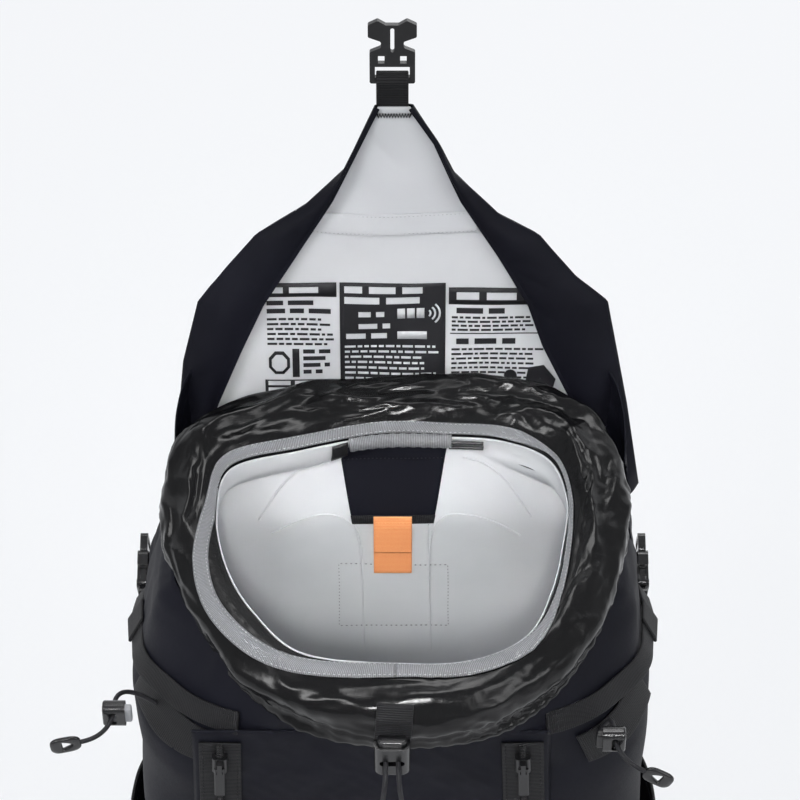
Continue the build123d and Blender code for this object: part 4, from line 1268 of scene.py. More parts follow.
    def bar(self, name: str, x0: float, x1: float, s0: float, s1: float, look: Look,
            lift: float = .0005) -> None:
        """Printed bar between two corners."""
        u = np.linspace(x0, x1, max(int(abs(x1 - x0) / .003), 2))[None, :]
        v = np.linspace(s0, s1, max(int(abs(s1 - s0) / .003), 2))[:, None]
        points = self.lining_point(u + 0 * v, v + 0 * u, lift)
        dress(surface(name, points, False, .15 * MM), look, "lid")

    def rows(self, name: str, x: tuple, s: tuple, count: int, tall: float, look: Look, seed: int,
             lift: float = .0006) -> None:
        """Rows of short printed dashes, ragged at their ends, as one piece.

        Args:
            name: Its name.
            x: From and to across.
            s: From the top row to the last one.
            count: How many rows.
            tall: Height of a dash.
            look: Its finish.
            seed: Seed of the dashes' lengths.
            lift: Height off the lining.
        """
        rng = np.random.default_rng(seed)
        boxes = []
        for k, level in enumerate(np.linspace(s[0], s[1], count)):
            at, end = x[0], x[1] - (x[1] - x[0]) * rng.uniform(0, .22)
            while at < end - tall:
                wide = min(rng.uniform(1.4, 5.2) * tall, end - at)
                boxes.append((at, at + wide, level))
                at += wide + tall * .95
        box = np.array(boxes)
        u, v = np.linspace(0, 1, 5), np.linspace(-.5, .5, 2)
        across = box[:, 0, None, None] + (box[:, 1] - box[:, 0])[:, None, None] * u[None, None, :]
        along = box[:, 2, None, None] + tall * v[None, :, None] + 0 * across
        across = across + 0 * along
        points = self.lining_point(across, along, lift)
        under = self.lining_point(across, along, lift - .00045)
        verts = np.stack([points, under], axis=1).reshape(-1, 3)
        quads = []
        for k in range(4):
            quads += [[k, k + 1, k + 6, k + 5], [k + 10, k + 15, k + 16, k + 11]]
            quads += [[k, k + 10, k + 11, k + 1], [k + 5, k + 6, k + 16, k + 15]]
        quads += [[0, 5, 15, 10], [4, 14, 19, 9]]
        faces = (np.array(quads)[None] + (np.arange(len(boxes)) * 20)[:, None, None]).reshape(-1, 4).tolist()
        dress(mesh_object(name, verts, faces, np.zeros((len(verts), 2)), False), look, "lid")

    def print_block(self) -> None:
        """Plain information panel: bars, rings, arcs and boxes that say nothing."""
        dark, pale = Look.INK, Look.LINING
        self.bar("print_a_head", -.083, -.036, .071, .0815, dark)
        self.rows("print_a_title", (-.080, -.040), (.0762, .0762), 1, .0042, pale, 3, .0009)
        self.rows("print_a_sub", (-.081, -.038), (.0665, .0605), 2, .0032, dark, 4)
        self.rows("print_a_small", (-.081, -.038), (.0545, .0365), 6, .0014, dark, 5)
        self.rows("print_a_side", (-.058, -.038), (.031, .0155), 4, .0028, dark, 6)
        self.bar("print_a_foot", -.083, -.036, -.0005, .0095, dark)
        self.rows("print_a_foot_row", (-.081, -.039), (.0070, .0020), 2, .0030, pale, 7, .0009)
        self.rows("print_a_last", (-.081, -.039), (-.0030, -.0060), 2, .0013, dark, 8)
        self.bar("print_b_ground", -.034, .034, .007, .0815, dark)
        self.rows("print_b_title", (-.031, .031), (.0765, .0690), 2, .0046, pale, 9, .0009)
        self.rows("print_b_left", (-.022, -.001), (.0590, .0500), 2, .0036, pale, 10, .0009)
        self.rows("print_b_name", (-.030, -.003), (.0425, .0425), 1, .0038, pale, 11, .0009)
        self.rows("print_b_small", (-.031, .031), (.0345, .0105), 7, .0014, pale, 12, .0009)
        for k in range(3):
            self.bar(f"print_b_block_{k}", .003 + k * .0062, .0080 + k * .0062, .0555, .0630, pale, .0009)
            arc = np.linspace(-.85, .85, 14)
            radius = .0035 + k * .0030
            strip = np.stack([np.stack([.0215 + r * np.cos(arc), .0590 + r * np.sin(arc)], axis=1)
                              for r in (radius, radius - .0013)])
            dress(surface(f"print_b_arc_{k}", self.lining_point(strip[..., 0], strip[..., 1], .0009), False,
                          .15 * MM), pale, "lid")
        self.bar("print_b_plate", .003, .022, .0400, .0455, pale, .0009)
        self.rows("print_b_foot", (-.032, .032), (.003, -.005), 3, .0015, dark, 13)
        self.bar("print_c_head", .036, .100, .0655, .078, dark)
        self.rows("print_c_title", (.041, .088), (.0718, .0718), 1, .0052, pale, 14, .0009)
        self.rows("print_c_first", (.041, .080), (.0610, .0610), 1, .0038, dark, 15)
        self.rows("print_c_small", (.038, .098), (.0560, .0470), 4, .0013, dark, 16)
        self.bar("print_c_rule", .037, .104, .0440, .0447, dark)
        self.rows("print_c_second", (.041, .088), (.0385, .0385), 1, .0040, dark, 17)
        self.rows("print_c_lower", (.038, .104), (.0325, .0075), 8, .0013, dark, 18)
        corner = np.arange(8) * math.pi / 4 + math.pi / 8
        middle = np.array([-.0735, .0225])
        ring = middle + np.stack([.0074 * np.cos(corner), .0092 * np.sin(corner)], axis=1)
        self.shape(ring, "print_a_octagon", dark)
        self.shape(middle + (ring - middle) * .72, "print_a_octagon_face", pale, .0009)
        self.bar("print_a_pillar", -.0650, -.0605, .0115, .0330, dark)
        dot = np.arange(20) * 2 * math.pi / 20
        self.shape(np.stack([.0765 + .0042 * np.cos(dot), .0125 + .0046 * np.sin(dot)], axis=1),
                   "print_c_dot", dark)
        self.shape([(.085, .001), (.104, .001), (.106, .010), (.098, .021), (.088, .019)], "print_c_block",
                   dark)

    def webbing(self) -> None:
        """Hook's webbing: sewn to the lid's tip, round the hook's bar and back."""
        bar = self.length + .018
        h = self.lining + .0019
        outer = [(.196, h + .0006), (.206, h - .0006), (bar - .006, h - .0036), (bar + .001, h - .0048),
                 (bar + .0046, h), (bar + .001, h + .0048), (bar - .006, h + .0036), (.204, h + .002)]
        points = np.array([self.place(0, s, k) for s, k in outer])
        strap = ribbon("hook_webbing", points, 20 * MM, 1.7 * MM, (1, 0, 0), 110)
        dress(strap, Look.WEBBING, "lid", ("lid_webbing",))
        steps = np.arange(25)
        zig = np.stack([np.linspace(-.0095, .0115, 25), .2005 + .0013 * (-1.0) ** steps], axis=1)
        path = self.lining_point(zig[:, 0], zig[:, 1], .0012)
        dress(swept("hook_bartack", path, (0, -.3, 1.0), round_profile(.65 * MM, 6)), Look.CORD, "lid")


# ---------------------------------------------------------------- yoke behind the collar
@dataclass
class Yoke:
    """Back wall and side gussets that rise behind the collar and carry the lid."""

    low: float = .398
    high: float = .512
    front: float = .038

    def skin(self, t: Array, z: Array, out: float | Array) -> Array:
        """Point on the yoke, t from the left gusset's front edge round the back to the right one.

        The plan is a rounded rectangle that narrows and deepens with height.
        """
        t, z = np.broadcast_arrays(t, z)
        k = np.clip((z - .410) / .102, -.15, 1)
        a, b, r = .160 - .015 * k + out, .105 + .004 * k + out, .055
        side = (b - r) - self.front
        arc = r * math.pi / 2
        back = 2 * (a - r)
        total = 2 * side + 2 * arc + back
        d = t * total
        half = d > total / 2
        d = np.where(half, total - d, d)
        on_arc = np.clip((d - side) / r, 0, math.pi / 2)
        on_back = np.clip(d - side - arc, 0, None)
        x = -(a - r) - r * np.cos(on_arc) + on_back
        y = self.front + np.clip(d, 0, side) + r * np.sin(on_arc)
        slim = 1 - .055 * np.clip((z - .43) / .06, 0, 1)
        return np.stack([np.where(half, -x, x * slim), y, z], axis=-1)

    def build(self) -> None:
        """Make the cloth, its top edge falling towards the front, and the cloth at the lid's root."""
        t = np.linspace(0, 1, 220)[None, :]
        fall = np.clip((.078 - self.skin(t, .45, 0)[..., 1]) / .040, 0, 1)
        high = self.high - .030 * fall * fall * (3 - 2 * fall)
        z = self.low + (high - self.low) * np.linspace(0, 1, 60)[:, None]
        fade = np.clip((z - self.low) / .02, 0, 1) * np.clip((high - z) / .01, .2, 1)
        fold = waves(t * 2, z * 8, 131, 6, 1, 5) * 1.0 + crumple(t, z * 5, 133, 9, 3) * .9
        outer = surface("yoke_outer", self.skin(t, z, .0012 + np.abs(fold) * fade * MM), False, .9 * MM,
                        flip=True)
        dress(outer, Look.SHELL, "pack", ("back_yoke",))
        self.root()

    def root(self) -> None:
        """Cloth at the lid's root: rises from the yoke's top edge into the lid's back."""
        left = [(-.1490, .066, .5040), (-.1500, .082, .5100), (-.1490, .100, .519), (-.1430, .122, .5265),
                (-.128, .1350, .5330), (-.090, .1375, .5355), (0, .1385, .536)]
        top = np.array([(x * .935, y, z) for x, y, z in left] + [(-x, y, z) for x, y, z in left[-2::-1]])
        low = self.skin(np.linspace(.075, .925, 200), np.full(200, .478), .0042)
        high = open_curve(top, 200)
        bend = [(-.1405, .078, .492), (-.1400, .104, .498), (-.1330, .130, .502), (-.1180, .1400, .503),
                (-.085, .1410, .503), (0, .1410, .503)]
        mid = open_curve(np.array(bend + [(-x * 1.07, y, z) for x, y, z in bend[-2::-1]]), 200)
        v = np.linspace(0, 1, 26)[:, None, None]
        grid = low * (1 - v) ** 2 + 2 * mid * v * (1 - v) + high * v**2
        t = np.linspace(0, 1, 200)[None, :]
        fold = crumple(t, v[..., 0], 141, 9, 2) * .7 + waves(t * 3, v[..., 0], 143, 5, 1, 6) * .5
        out = np.concatenate([unit(grid[..., :2]), np.zeros((*grid.shape[:2], 1))], axis=2)
        grid = grid + out * (np.abs(fold) * 1.2 * np.sin(v[..., 0] * math.pi))[..., None] * MM
        root = surface("lid_root", grid, False, 1.0 * MM, flip=True)
        root.data.materials.append(Look.SHELL.material())
        self.bake(root)
        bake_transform(root)
        log.info("piece lid_root, shell")

    def bake(self, obj: bpy.types.Object) -> None:
        """Apply the piece's modifiers."""
        graph = bpy.context.evaluated_depsgraph_get()
        mesh = bpy.data.meshes.new_from_object(obj.evaluated_get(graph))
        obj.modifiers.clear()
        obj.data = mesh


# ---------------------------------------------------------------- straps, cords and their locks
@dataclass
class SideStraps:
    """Compression straps over the shoulders with their keepers and sewn ends."""

    body: BagBody
    width: float = 15 * MM
    lean: float = math.radians(16.5)
    back: tuple = (.036, .4125)

    def line(self, sign: int, count: int = 80) -> Array:
        """Strap's line on the skin from the buckle to its sewn end."""
        y = np.linspace(self.back[0], -.118, 260)
        z = self.back[1] + (self.back[0] - y) * math.tan(self.lean)
        u = np.arange(1600) / 1600
        points = []
        ring = self.body.skin(u[None, :], z[:, None], .0022)
        right = np.where(ring[..., 0] * sign > 0, 1, 0)
        gap = np.abs(ring[..., 1] - y[:, None]) + (1 - right) * 9 - np.abs(ring[..., 0]) * .02
        points = ring[np.arange(len(y)), np.argmin(gap, axis=1)]
        keep = np.abs(points[:, 0]) > .089
        path = open_curve(points[keep][::6], count)
        return path

    def build(self) -> None:
        """Make both straps with their keepers and bartacks."""
        for sign, name in ((-1, "left"), (1, "right")):
            path = self.line(sign)
            away = unit(np.stack([path[:, 0], path[:, 1] * 1.2, np.full(len(path), .10)], axis=1))
            run = unit(np.gradient(path, axis=0))
            across = np.cross(away, run)
            strap = swept(f"side_strap_{name}", path + away * .0006, across,
                          flat_profile(self.width, 1.7 * MM))
            dress(strap, Look.WEBBING, "pack", ("compression_straps",) if sign < 0 else ())
            part = slice(10, 22)
            dress(swept(f"side_keeper_{name}", (path + away * .0018)[part], across[part],
                        flat_profile(self.width + 4 * MM, 2.2 * MM)), Look.WEBBING, "pack")
            end = path[-6:] + away[-6:] * .0022
            for k in range(3):
                row = end + across[-6:] * (k - 1) * .0045
                dress(stitches(f"side_tack_{name}_{k}", row, 1.6 * MM, away[-3], .45 * MM, .8), Look.CORD,
                      "pack")


@dataclass
class Cords:
    """Elastic cords of the hem and the tool holders."""

    diameter: float = 3.0 * MM

    def drawcord(self) -> None:
        """Both strands of the hem's drawcord: out through the lock, then down the front."""
        for sign, name, node in ((-1, "drawcord_strand", "drawcord"),
                                 (1, "drawcord_strand_tail", "drawcord_tail")):
            route = [(sign * .0036, -.143157, .4785), (sign * .0036, -.167157, .4785),
                     (sign * .006, -.169157, .456), (sign * .009, -.162157, .417)]
            cord = cord_curve(name, route, self.diameter)
            dress(cord, Look.CORD, "pack", (node,))
            knot = self.knot(f"{name}_knot", np.array(route[-1]), np.array(route[-1]) - np.array(route[-2]))

    def knot(self, name: str, place: Array, run: Array) -> bpy.types.Object:
        """Overhand knot at a cord's end: a trefoil tube squeezed along the cord."""
        a = np.linspace(0, 2 * math.pi, 90, endpoint=False)
        flat = np.stack([np.sin(a) + 2 * np.sin(2 * a), np.cos(a) - 2 * np.cos(2 * a),
                         -1.2 * np.sin(3 * a)], axis=1)
        path = flat * np.array([.75, .75, .95]) * MM
        axis = unit(run)
        side = unit(np.cross(axis, [0, 1, .2]))
        turn = np.stack([side, np.cross(axis, side), axis], axis=0)
        path = path @ turn + place + axis * .0016
        return dress(swept(name, path, axis + .01, round_profile(1.35 * MM, 8), True), Look.CORD, "pack")

    def tool_cords(self) -> None:
        """Cord of each front corner's tool holder: out of its patch, through its lock, to its pull tab."""
        routes = {
            "left": [(-.1459, -.0703, .427), (-.172, -.066, .449), (-.172, -.112, .449),
                     (-.191, -.115, .447)],
            "right": [(.127, -.0951, .427), (.136, -.090, .450), (.136, -.130, .450), (.154, -.133, .441)],
        }
        for name, route in routes.items():
            cord = cord_curve(f"tool_cord_{name}", route, self.diameter)
            dress(cord, Look.CORD, "pack", (f"axe_cord_{name}",))
            pull = self.pull(name, np.array(route[3]), np.array(route[3]) - np.array(route[2]))

    def pull(self, name: str, end: Array, run: Array) -> bpy.types.Object:
        """Moulded pull at a tool cord's end: a rounded plate with a three-cornered hole.

        The plate's outline and the hole's are walked at the same angles and joined by rings.
        """
        axis = unit(run)
        across = unit(np.cross(np.array([0, 1.0, 0]), axis))
        face = np.cross(axis, across)
        a = np.arange(48) * 2 * math.pi / 48
        c, k = np.cos(a), np.sin(a)
        outer = np.stack([np.sign(c) * np.abs(c) ** .6 * 9.5, np.sign(k) * np.abs(k) ** .6 * 6.4],
                         axis=1) * MM
        reach = 2.4 / np.maximum(np.maximum(np.cos(a), np.cos(a - 2 * math.pi / 3)),
                                 np.cos(a + 2 * math.pi / 3))
        hole = np.stack([np.cos(a) * np.minimum(reach, 4.2) - .4, np.sin(a) * np.minimum(reach, 4.2)],
                        axis=1) * MM
        shares = np.array([1, .9, .6, .25, .08, 0, .08, .25, .6, .9, 1, 1])
        heights = np.array([.5, 1.15, 1.5, 1.5, 1.3, 0, -1.3, -1.5, -1.5, -1.15, -.5, .5]) * MM
        plan = hole[None] + (outer - hole)[None] * shares[:, None, None]
        centre = end + axis * .0092
        grid = centre + plan[..., :1] * axis + plan[..., 1:] * across + heights[:, None, None] * face
        piece = surface(f"tool_pull_{name}", grid, True)
        return dress(piece, Look.GLOSS, "pack", ("axe_pulls",) if name == "left" else ())

    def patches(self, body: BagBody) -> None:
        """Reinforcing patches that the tool cords come out of."""
        for name, box, sign in (("left", (-.152, -.137, -.104, -.047, .416, .438), -1),
                                ("right", (.119, .133, -.112, -.050, .414, .434), 1)):
            u = np.arange(2400) / 2400
            z = np.linspace(box[4] - .002, box[5] + .002, 18)
            ring = body.skin(u[None, :], z[:, None], .0022)
            outer = ring[..., 0] * sign > .118
            mask = outer & (ring[..., 1] < box[3] + .002) & (ring[..., 1] > box[2] - .001)
            cols = np.where(mask[len(z) // 2])[0]
            grid = ring[:, cols][:, :: max(len(cols) // 40, 1)]
            patch = surface(f"tool_patch_{name}", grid, False, .9 * MM)
            dress(patch, Look.WEBBING, "pack", ("axe_patches",) if sign < 0 else ())


# ---------------------------------------------------------------- harness
@dataclass
class Harness:
    """Padded back, shoulder straps, hip wings and their webbing."""

    back: float = .105
    strap_x: float = .066
    strap_path: tuple = ((.1112, .424), (.121, .438), (.131, .448), (.143, .4475), (.1525, .434),
                         (.160, .396), (.1675, .354), (.1685, .328), (.163, .283), (.157, .245),
                         (.1495, .218), (.142, .190))
    strap_left: tuple = ((.180, -.015), (.196, -.018), (.240, -.022), (.310, -.024), (.380, -.030),
                         (.480, -.030))
    strap_right: tuple = ((.180, .015), (.196, .017), (.240, .030), (.310, .038), (.380, .030), (.480, .030))

    def pillow(self, name: str, path: Array, across: Array, low: Array, high: Array, thick: float,
               puff: float, columns: int = 48, seed: int = 1) -> bpy.types.Object:
        """Stuffed strip: at each point a flattened ring from low to high across, thick at its middle.

        The ring is a superellipse, so the faces stay broad and the edges stay full.
        """
        run = unit(np.gradient(path, axis=0))
        side = unit(across - run * np.sum(across * run, axis=1, keepdims=True))
        over = np.cross(run, side)
        a = np.arange(columns) * 2 * math.pi / columns
        c, k = np.cos(a), np.sin(a)
        wide = np.sign(c) * np.abs(c) ** .55
        tall = np.sign(k) * np.abs(k) ** .8
        mid, half = (low + high) / 2, (high - low) / 2
        n = len(path)
        ends = np.clip(np.minimum(np.arange(n), np.arange(n)[::-1]) / 5, 0, 1)
        full = np.sqrt(np.clip(ends * (2 - ends), .04, 1))
        u, v = a[None, :] / (2 * math.pi), np.linspace(0, 1, n)[:, None]
        quilt = waves(u, v * 3, 150 + seed, 6, 1, 4, True) * .5
        lift = tall[None, :] * (thick / 2 + puff) * full[:, None] + quilt * MM * full[:, None]
        spread = mid[:, None] + half[:, None] * wide[None, :] * (.9 + .1 * full[:, None])
        points = path[:, None] + side[:, None] * spread[..., None] + over[:, None] * lift[..., None]
        verts = points.reshape(-1, 3)
        faces = grid_faces(n, columns, True)
        faces += [list(range(columns))[::-1], [(n - 1) * columns + q for q in range(columns)]]
        length = run_length(path)
        uv = np.stack(np.broadcast_arrays(length[:, None], (half[:, None] * wide[None, :])), axis=-1)
        return mesh_object(name, verts, faces, uv)

    def shoulder(self) -> None:
        """Both shoulder straps, S-shaped, with an edge binding and a webbing run down the face."""
        line = open_curve(np.array([(0, *p) for p in self.strap_path]), 90)
        for sign, name in ((-1, "left"), (1, "right")):
            z = line[:, 2]
            crest = np.argmax(z)
            height = np.where(np.arange(90) < crest, .48, z)
            inner = np.interp(height, *np.array(self.strap_left).T)
            outer = np.interp(height, *np.array(self.strap_right).T)
            low, high = (inner, outer) if sign > 0 else (-outer, -inner)
            path = line + np.array([sign * self.strap_x, 0, 0])
            across = np.tile([1.0, 0, 0], (90, 1))
            pad = self.pillow(f"strap_pad_{name}", path, across, low, high, 11 * MM, .6 * MM, 48, 3 + sign)
            dress(pad, Look.FOAM, f"strap_{name}", (f"shoulder_strap_{name}",))
            for edge, label in ((low, "a"), (high, "b")):
                rim = path + across * (edge * .985)[:, None]
                dress(swept(f"strap_binding_{name}_{label}", rim[1:-1], across[1:-1],
                            round_profile(2.1 * MM, 8)), Look.WEBBING, f"strap_{name}")
            run = unit(np.gradient(path, axis=0))
            over = np.cross(run, across)
            face = path - over * .0068 if over[60, 1] < 0 else path + over * .0068
            dress(swept(f"strap_daisy_{name}", face[22:], across[22:], flat_profile(20 * MM, 1.6 * MM)),
                  Look.WEBBING, f"strap_{name}")
            lower = np.array([(0, .1342, .1609), (0, .1318, .152), (0, .1215, .1475), (0, .110, .1425)])
            webbing = ribbon(f"strap_webbing_{name}", lower + np.array([sign * self.strap_x, 0, 0]),
                             20 * MM, 1.7 * MM,
                             (1, 0, 0), 30)
            dress(webbing, Look.WEBBING, f"strap_{name}", (f"lower_webbing_{name}",))

    def pads(self) -> None:
        """Back pads and lumbar pad: crowned forms with sewn channels."""
        spots = (("back_pad_left", -.053, .279, .041, .122, 12, ("back_pads",)),
                 ("back_pad_right", .053, .279, .041, .122, 12, ()),
                 ("lumbar_pad_soft", 0, .109, .055, .044, 12, ("lumbar_pad",)))
        for name, x, z, hw, hh, thick, nodes in spots:
            a = (np.arange(120) * 2 * math.pi / 120)[None, :]
            r = np.linspace(.0, 1, 44)[:, None]
            c, k = np.cos(a), np.sin(a)
            plan_x = np.sign(c) * np.abs(c) ** .38 * hw
            plan_z = np.sign(k) * np.abs(k) ** .38 * hh
            px, pz = plan_x * r, plan_z * r
            channel = np.exp(-((np.mod(pz + hh, .041) - .0205) / .0026) ** 2) * np.clip((1 - r) / .2, 0, 1)
            crown = (1 - r**5) ** .6
            y = self.back + .0012 + (thick * MM + .0008) * crown * (1 - .22 * channel) - .0006
            grid = np.stack([x + px + 0 * a, y + 0 * px, z + pz], axis=-1)
            rim = grid[-1:].copy()
            rim[..., 1] = self.back + .0002
            back = np.concatenate([grid, rim], axis=0)
            pad = surface(name, back, True, 0.0, flip=True)
            dress(pad, Look.FOAM, "pack", nodes)
            edge = np.stack([x + plan_x[0], np.full(120, self.back + .0016), z + plan_z[0]], axis=1)
            dress(swept(f"{name}_piping", edge, (0, 1.0, 0), round_profile(1.9 * MM, 8), True),
                  Look.WEBBING, "pack")

    def hips(self) -> None:
        """Hip wings with their edge binding and webbing to the buckle."""
        line = [(.064, .1132), (.085, .1138), (.108, .1145), (.128, .1175), (.147, .129), (.159, .144),
                (.1645, .158), (.172, .186)]
        for sign, name in ((-1, "left"), (1, "right")):
            path = open_curve(np.array([(sign * x, y, .092) for x, y in line]), 80)
            x = np.abs(path[:, 0])
            low = np.interp(x, [.06, .15, .172], [.046, .046, .0575]) - .092
            high = np.interp(x, [.06, .15, .172], [.138, .138, .1245]) - .092
            across = np.tile([0, 0, 1.0], (80, 1))
            pad = self.pillow(f"hip_pad_{name}", path, across, low, high, 11 * MM, .5 * MM, 48, 7 + sign)
            node = (f"hip_wing_{name}",)
            dress(pad, Look.FOAM, f"hip_{name}", node)
            run = unit(np.gradient(path, axis=0))
            outward = np.cross(run, across) * -sign
            faces_out = (outward @ np.array([sign, -.4, 0]))[:, None] > 0
            face = path + np.where(faces_out, outward, -outward) * .0066
            dress(swept(f"hip_face_{name}", face[20:], across[20:], flat_profile(38 * MM, 1.6 * MM)),
                  Look.WEBBING, f"hip_{name}")
            for edge, label in ((low, "low"), (high, "high")):
                rim = path + across * (edge * .985)[:, None]
                dress(swept(f"hip_binding_{name}_{label}", rim[1:-1], across[1:-1],
                            round_profile(2.0 * MM, 8)), Look.WEBBING, f"hip_{name}")

    def loops(self) -> None:
        """Haul loop at the top of the back and leg loop at its foot."""
        haul = [(.107, .448), (.113, .4478), (.123, .4505), (.1335, .4565), (.135, .463), (.133, .4705),
                (.122, .4755), (.1085, .4762)]
        piece = ribbon("haul_loop_soft", np.array([(0, *p) for p in haul]), 22 * MM, 2.4 * MM, (1, 0, 0), 70)
        dress(piece, Look.WEBBING, "pack", ("haul_loop",))
        leg = [(.1068, .056), (.112, .0555), (.1165, .049), (.119, .038), (.119, .022), (.1165, .014),
               (.113, .008)]
        piece = ribbon("leg_loop_soft", np.array([(0, *p) for p in leg]), 20 * MM, 1.8 * MM, (1, 0, 0), 60)
        dress(piece, Look.WEBBING, "pack", ("leg_loop",))


class Hardware:
    """Moulded and metal parts that keep their own solids."""

    LOOKS = {
        "zip_slider_left": Look.HARD, "zip_slider_right": Look.HARD, "drawcord_lock": Look.GLOSS,
        "drawcord_button": Look.GLOSS, "side_buckles": Look.GLOSS, "side_prongs": Look.GLOSS,
        "frame_sheet": Look.SHEET, "airbag": Look.AIRBAG, "gas_cartridge": Look.STEEL,
        "inflator_head": Look.HEAD, "fill_hose": Look.HARD, "release_cable": Look.HARD, "lid_hook": Look.HARD,
        "strap_adjuster_left": Look.HARD, "strap_adjuster_right": Look.HARD,
        "sternum_strap_left": Look.HARD, "sternum_strap_right": Look.HARD,
        "sternum_buckle": Look.HARD, "sternum_prong": Look.HARD, "hip_buckle_left": Look.HARD,
        "hip_prong_right": Look.HARD, "trigger_pocket": Look.HARD, "trigger_handle": Look.GRIP,
        "axe_locks": Look.GLOSS, "axe_button_left": Look.BUTTON, "axe_button_right": Look.HARD,
    }

    def __init__(self, nodes: dict[str, bpy.types.Object]) -> None:
        """Keep the frame's nodes."""
        self.nodes = nodes

    def build(self) -> None:
        """Give each carried-over node its finish."""
        for name, look in self.LOOKS.items():
            node = self.nodes[name]
            node.data.materials.clear()
            node.data.materials.append(look.material())
            log.info("node %s, %s", name, look.name.lower())


def pull_tab(lining: MouthLining) -> None:
    """Orange tab on the lining: webbing folded double, sewn to the wall above and loose below."""
    low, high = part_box("panel_pull_tab")
    x, y = (low.x + high.x) / 2, (low.y + high.y) / 2
    foot = low.z + .016
    path = open_curve(np.array([(x, y + .0010, high.z), (x, y + .0009, high.z - .010),
                                (x, y + .0008, foot + .003), (x, y - .0004, foot + .0006),
                                (x, y - .0016, foot + .003), (x, y - .0014, high.z - .010),
                                (x, y - .0012, high.z)]), 70)
    dress(swept("orange_tab_loop", path, (1.0, 0, 0), flat_profile(high.x - low.x, 1.3 * MM)), Look.PULL,
          "pull_tab", ("panel_pull_tab",))
    root = lining.wall(np.full(40, x), np.linspace(high.z + .0305, high.z - .0005, 40), .0030)
    dress(swept("orange_tab_root", root, (1.0, 0, 0), flat_profile(high.x - low.x, 2.4 * MM)), Look.PULL,
          "pack")
    for k in range(2):
        line = lining.wall(np.linspace(x - .011, x + .011, 20), np.full(20, high.z + .027 - k * .004), .0044)
        dress(stitches(f"orange_tab_stitch_{k}", line, 2.2 * MM, (0, -1, 0), .3 * MM), Look.PULL, "pack")


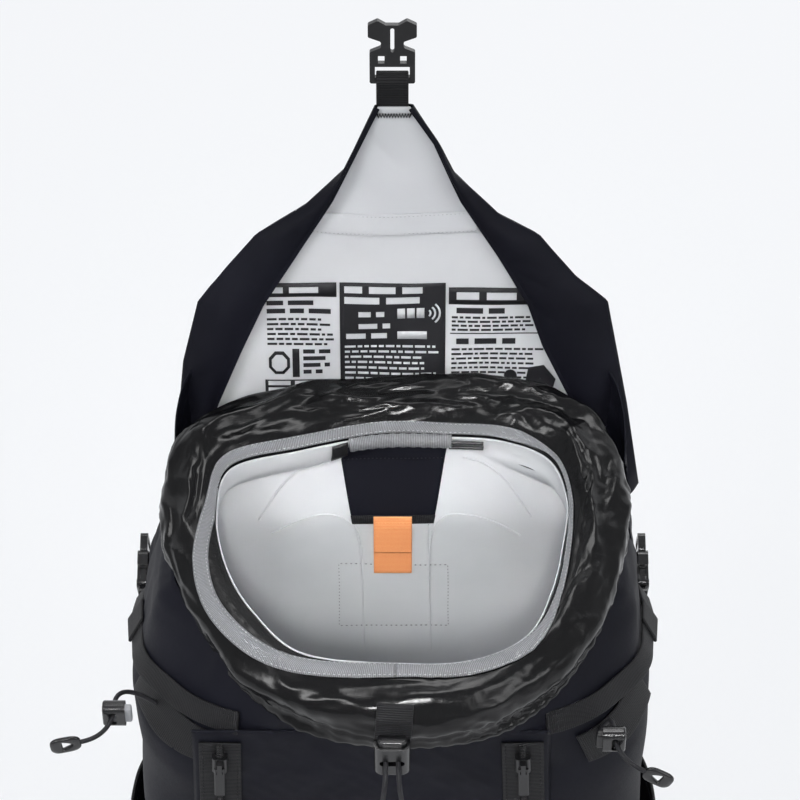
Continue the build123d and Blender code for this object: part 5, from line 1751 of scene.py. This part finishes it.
# ---------------------------------------------------------------- studio
@dataclass
class Studio:
    """Pale floor and backdrop, soft lamps and the camera."""

    aim: tuple = (.0047, -.02, .649)
    distance: float = 1.8
    elevation: float = math.radians(45.5)
    lens: float = 138.0

    def backdrop(self) -> None:
        """Floor that curves up behind into a backdrop, seen white by the camera."""
        run = open_curve(np.array([(0, -3, 0), (0, -1, 0), (0, 1.2, 0), (0, 2.4, .15), (0, 3.1, 1.0),
                                   (0, 3.3, 3.5)]), 60)
        x = np.linspace(-4, 4, 8)[None, :]
        grid = np.stack([x + 0 * run[:, :1], run[:, 1:2] + 0 * x, run[:, 2:3] + 0 * x], axis=-1)
        floor = surface("floor", grid, False, flip=False)
        s = Shader("studio_paper")
        path = s.node("ShaderNodeLightPath")
        seen = s.out(path, "Is Camera Ray").op("MAXIMUM", s.out(path, "Is Glossy Ray"))
        seen = seen.op("MAXIMUM", s.out(path, "Is Transmission Ray"))
        grain = s.noise(s.place(), 6.0, 2.0)
        colour = s.blend(grain, (0.86, 0.865, 0.88), (0.88, 0.885, 0.9))
        s.finish(Base_Color=colour, Roughness=0.9)
        glow = s.node("ShaderNodeEmission", Color=(0.93, 0.945, 0.97), Strength=1.0)
        mix = s.tree.nodes.new("ShaderNodeMixShader")
        feed(s.tree, mix.inputs["Fac"], seen * 0.82)
        s.tree.links.new(s.surface.outputs[0], mix.inputs[1])
        s.tree.links.new(glow.outputs[0], mix.inputs[2])
        s.tree.links.new(mix.outputs[0], s.tree.nodes["Material Output"].inputs["Surface"])
        floor.data.materials.append(s.material)

    def lamp(self, name: str, place: tuple, aim: tuple, size: float, power: float,
             spread: float = 180) -> None:
        """Square soft lamp turned to a point."""
        data = bpy.data.lights.new(name, "AREA")
        data.shape = "SQUARE"
        data.size = size
        data.energy = power
        data.spread = math.radians(spread)
        lamp = bpy.data.objects.new(name, data)
        lamp.location = place
        lamp.rotation_euler = (Vector(aim) - Vector(place)).to_track_quat("-Z", "Y").to_euler()
        bpy.context.scene.collection.objects.link(lamp)

    def build(self) -> None:
        """Make the set, the lamps, the world and the camera."""
        scene = bpy.context.scene
        scene.view_settings.view_transform = "Standard"
        self.backdrop()
        self.lamp("key", (-1.2, -1.0, 2.2), (0, 0, .4), .8, 22)
        self.lamp("fill", (1.5, -1.0, 1.7), (0, 0, .4), 1.0, 12)
        self.lamp("mouth", (0.0, -1.45, 2.0), (0, .05, .42), .3, .3, 15)
        self.lamp("top", (0.1, .9, 2.4), (0, 0, .5), .8, 12)
        self.lamp("back", (.4, 2.0, 1.2), (0, 0, .4), 1.2, 7)
        world = bpy.data.worlds.new("studio")
        world.use_nodes = True
        world.node_tree.nodes["Background"].inputs["Color"].default_value = (0.93, 0.945, 0.97, 1)
        # The world lights the object at its own level and is white to the camera.
        path = world.node_tree.nodes.new("ShaderNodeLightPath")
        level = world.node_tree.nodes.new("ShaderNodeMapRange")
        level.inputs["To Min"].default_value = 0.46
        level.inputs["To Max"].default_value = 1.0
        world.node_tree.links.new(path.outputs["Is Camera Ray"], level.inputs["Value"])
        world.node_tree.links.new(level.outputs["Result"],
                                  world.node_tree.nodes["Background"].inputs["Strength"])
        scene.world = world
        camera = bpy.data.objects.new("camera", bpy.data.cameras.new("camera"))
        camera.data.lens = self.lens
        camera.data.sensor_width = 36.0
        forward = Vector((0, math.cos(self.elevation), -math.sin(self.elevation)))
        camera.location = Vector(self.aim) - forward * self.distance
        camera.rotation_euler = forward.to_track_quat("-Z", "Y").to_euler()
        scene.collection.objects.link(camera)
        scene.camera = camera


def main() -> None:
    """Build the pack piece by piece round the frame."""
    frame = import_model()
    body = BagBody()
    body.build()
    FrontPanel().build(body)
    collar = Collar()
    collar.build()
    lining = MouthLining(collar, body)
    lining.build()
    Lid().build()
    Yoke().build()
    SideStraps(body).build()
    cords = Cords()
    cords.drawcord()
    cords.tool_cords()
    cords.patches(body)
    harness = Harness()
    harness.shoulder()
    harness.pads()
    harness.hips()
    harness.loops()
    pull_tab(lining)
    Hardware(frame["nodes"]).build()
    Studio().build()


if __name__ == "__main__":
    main()
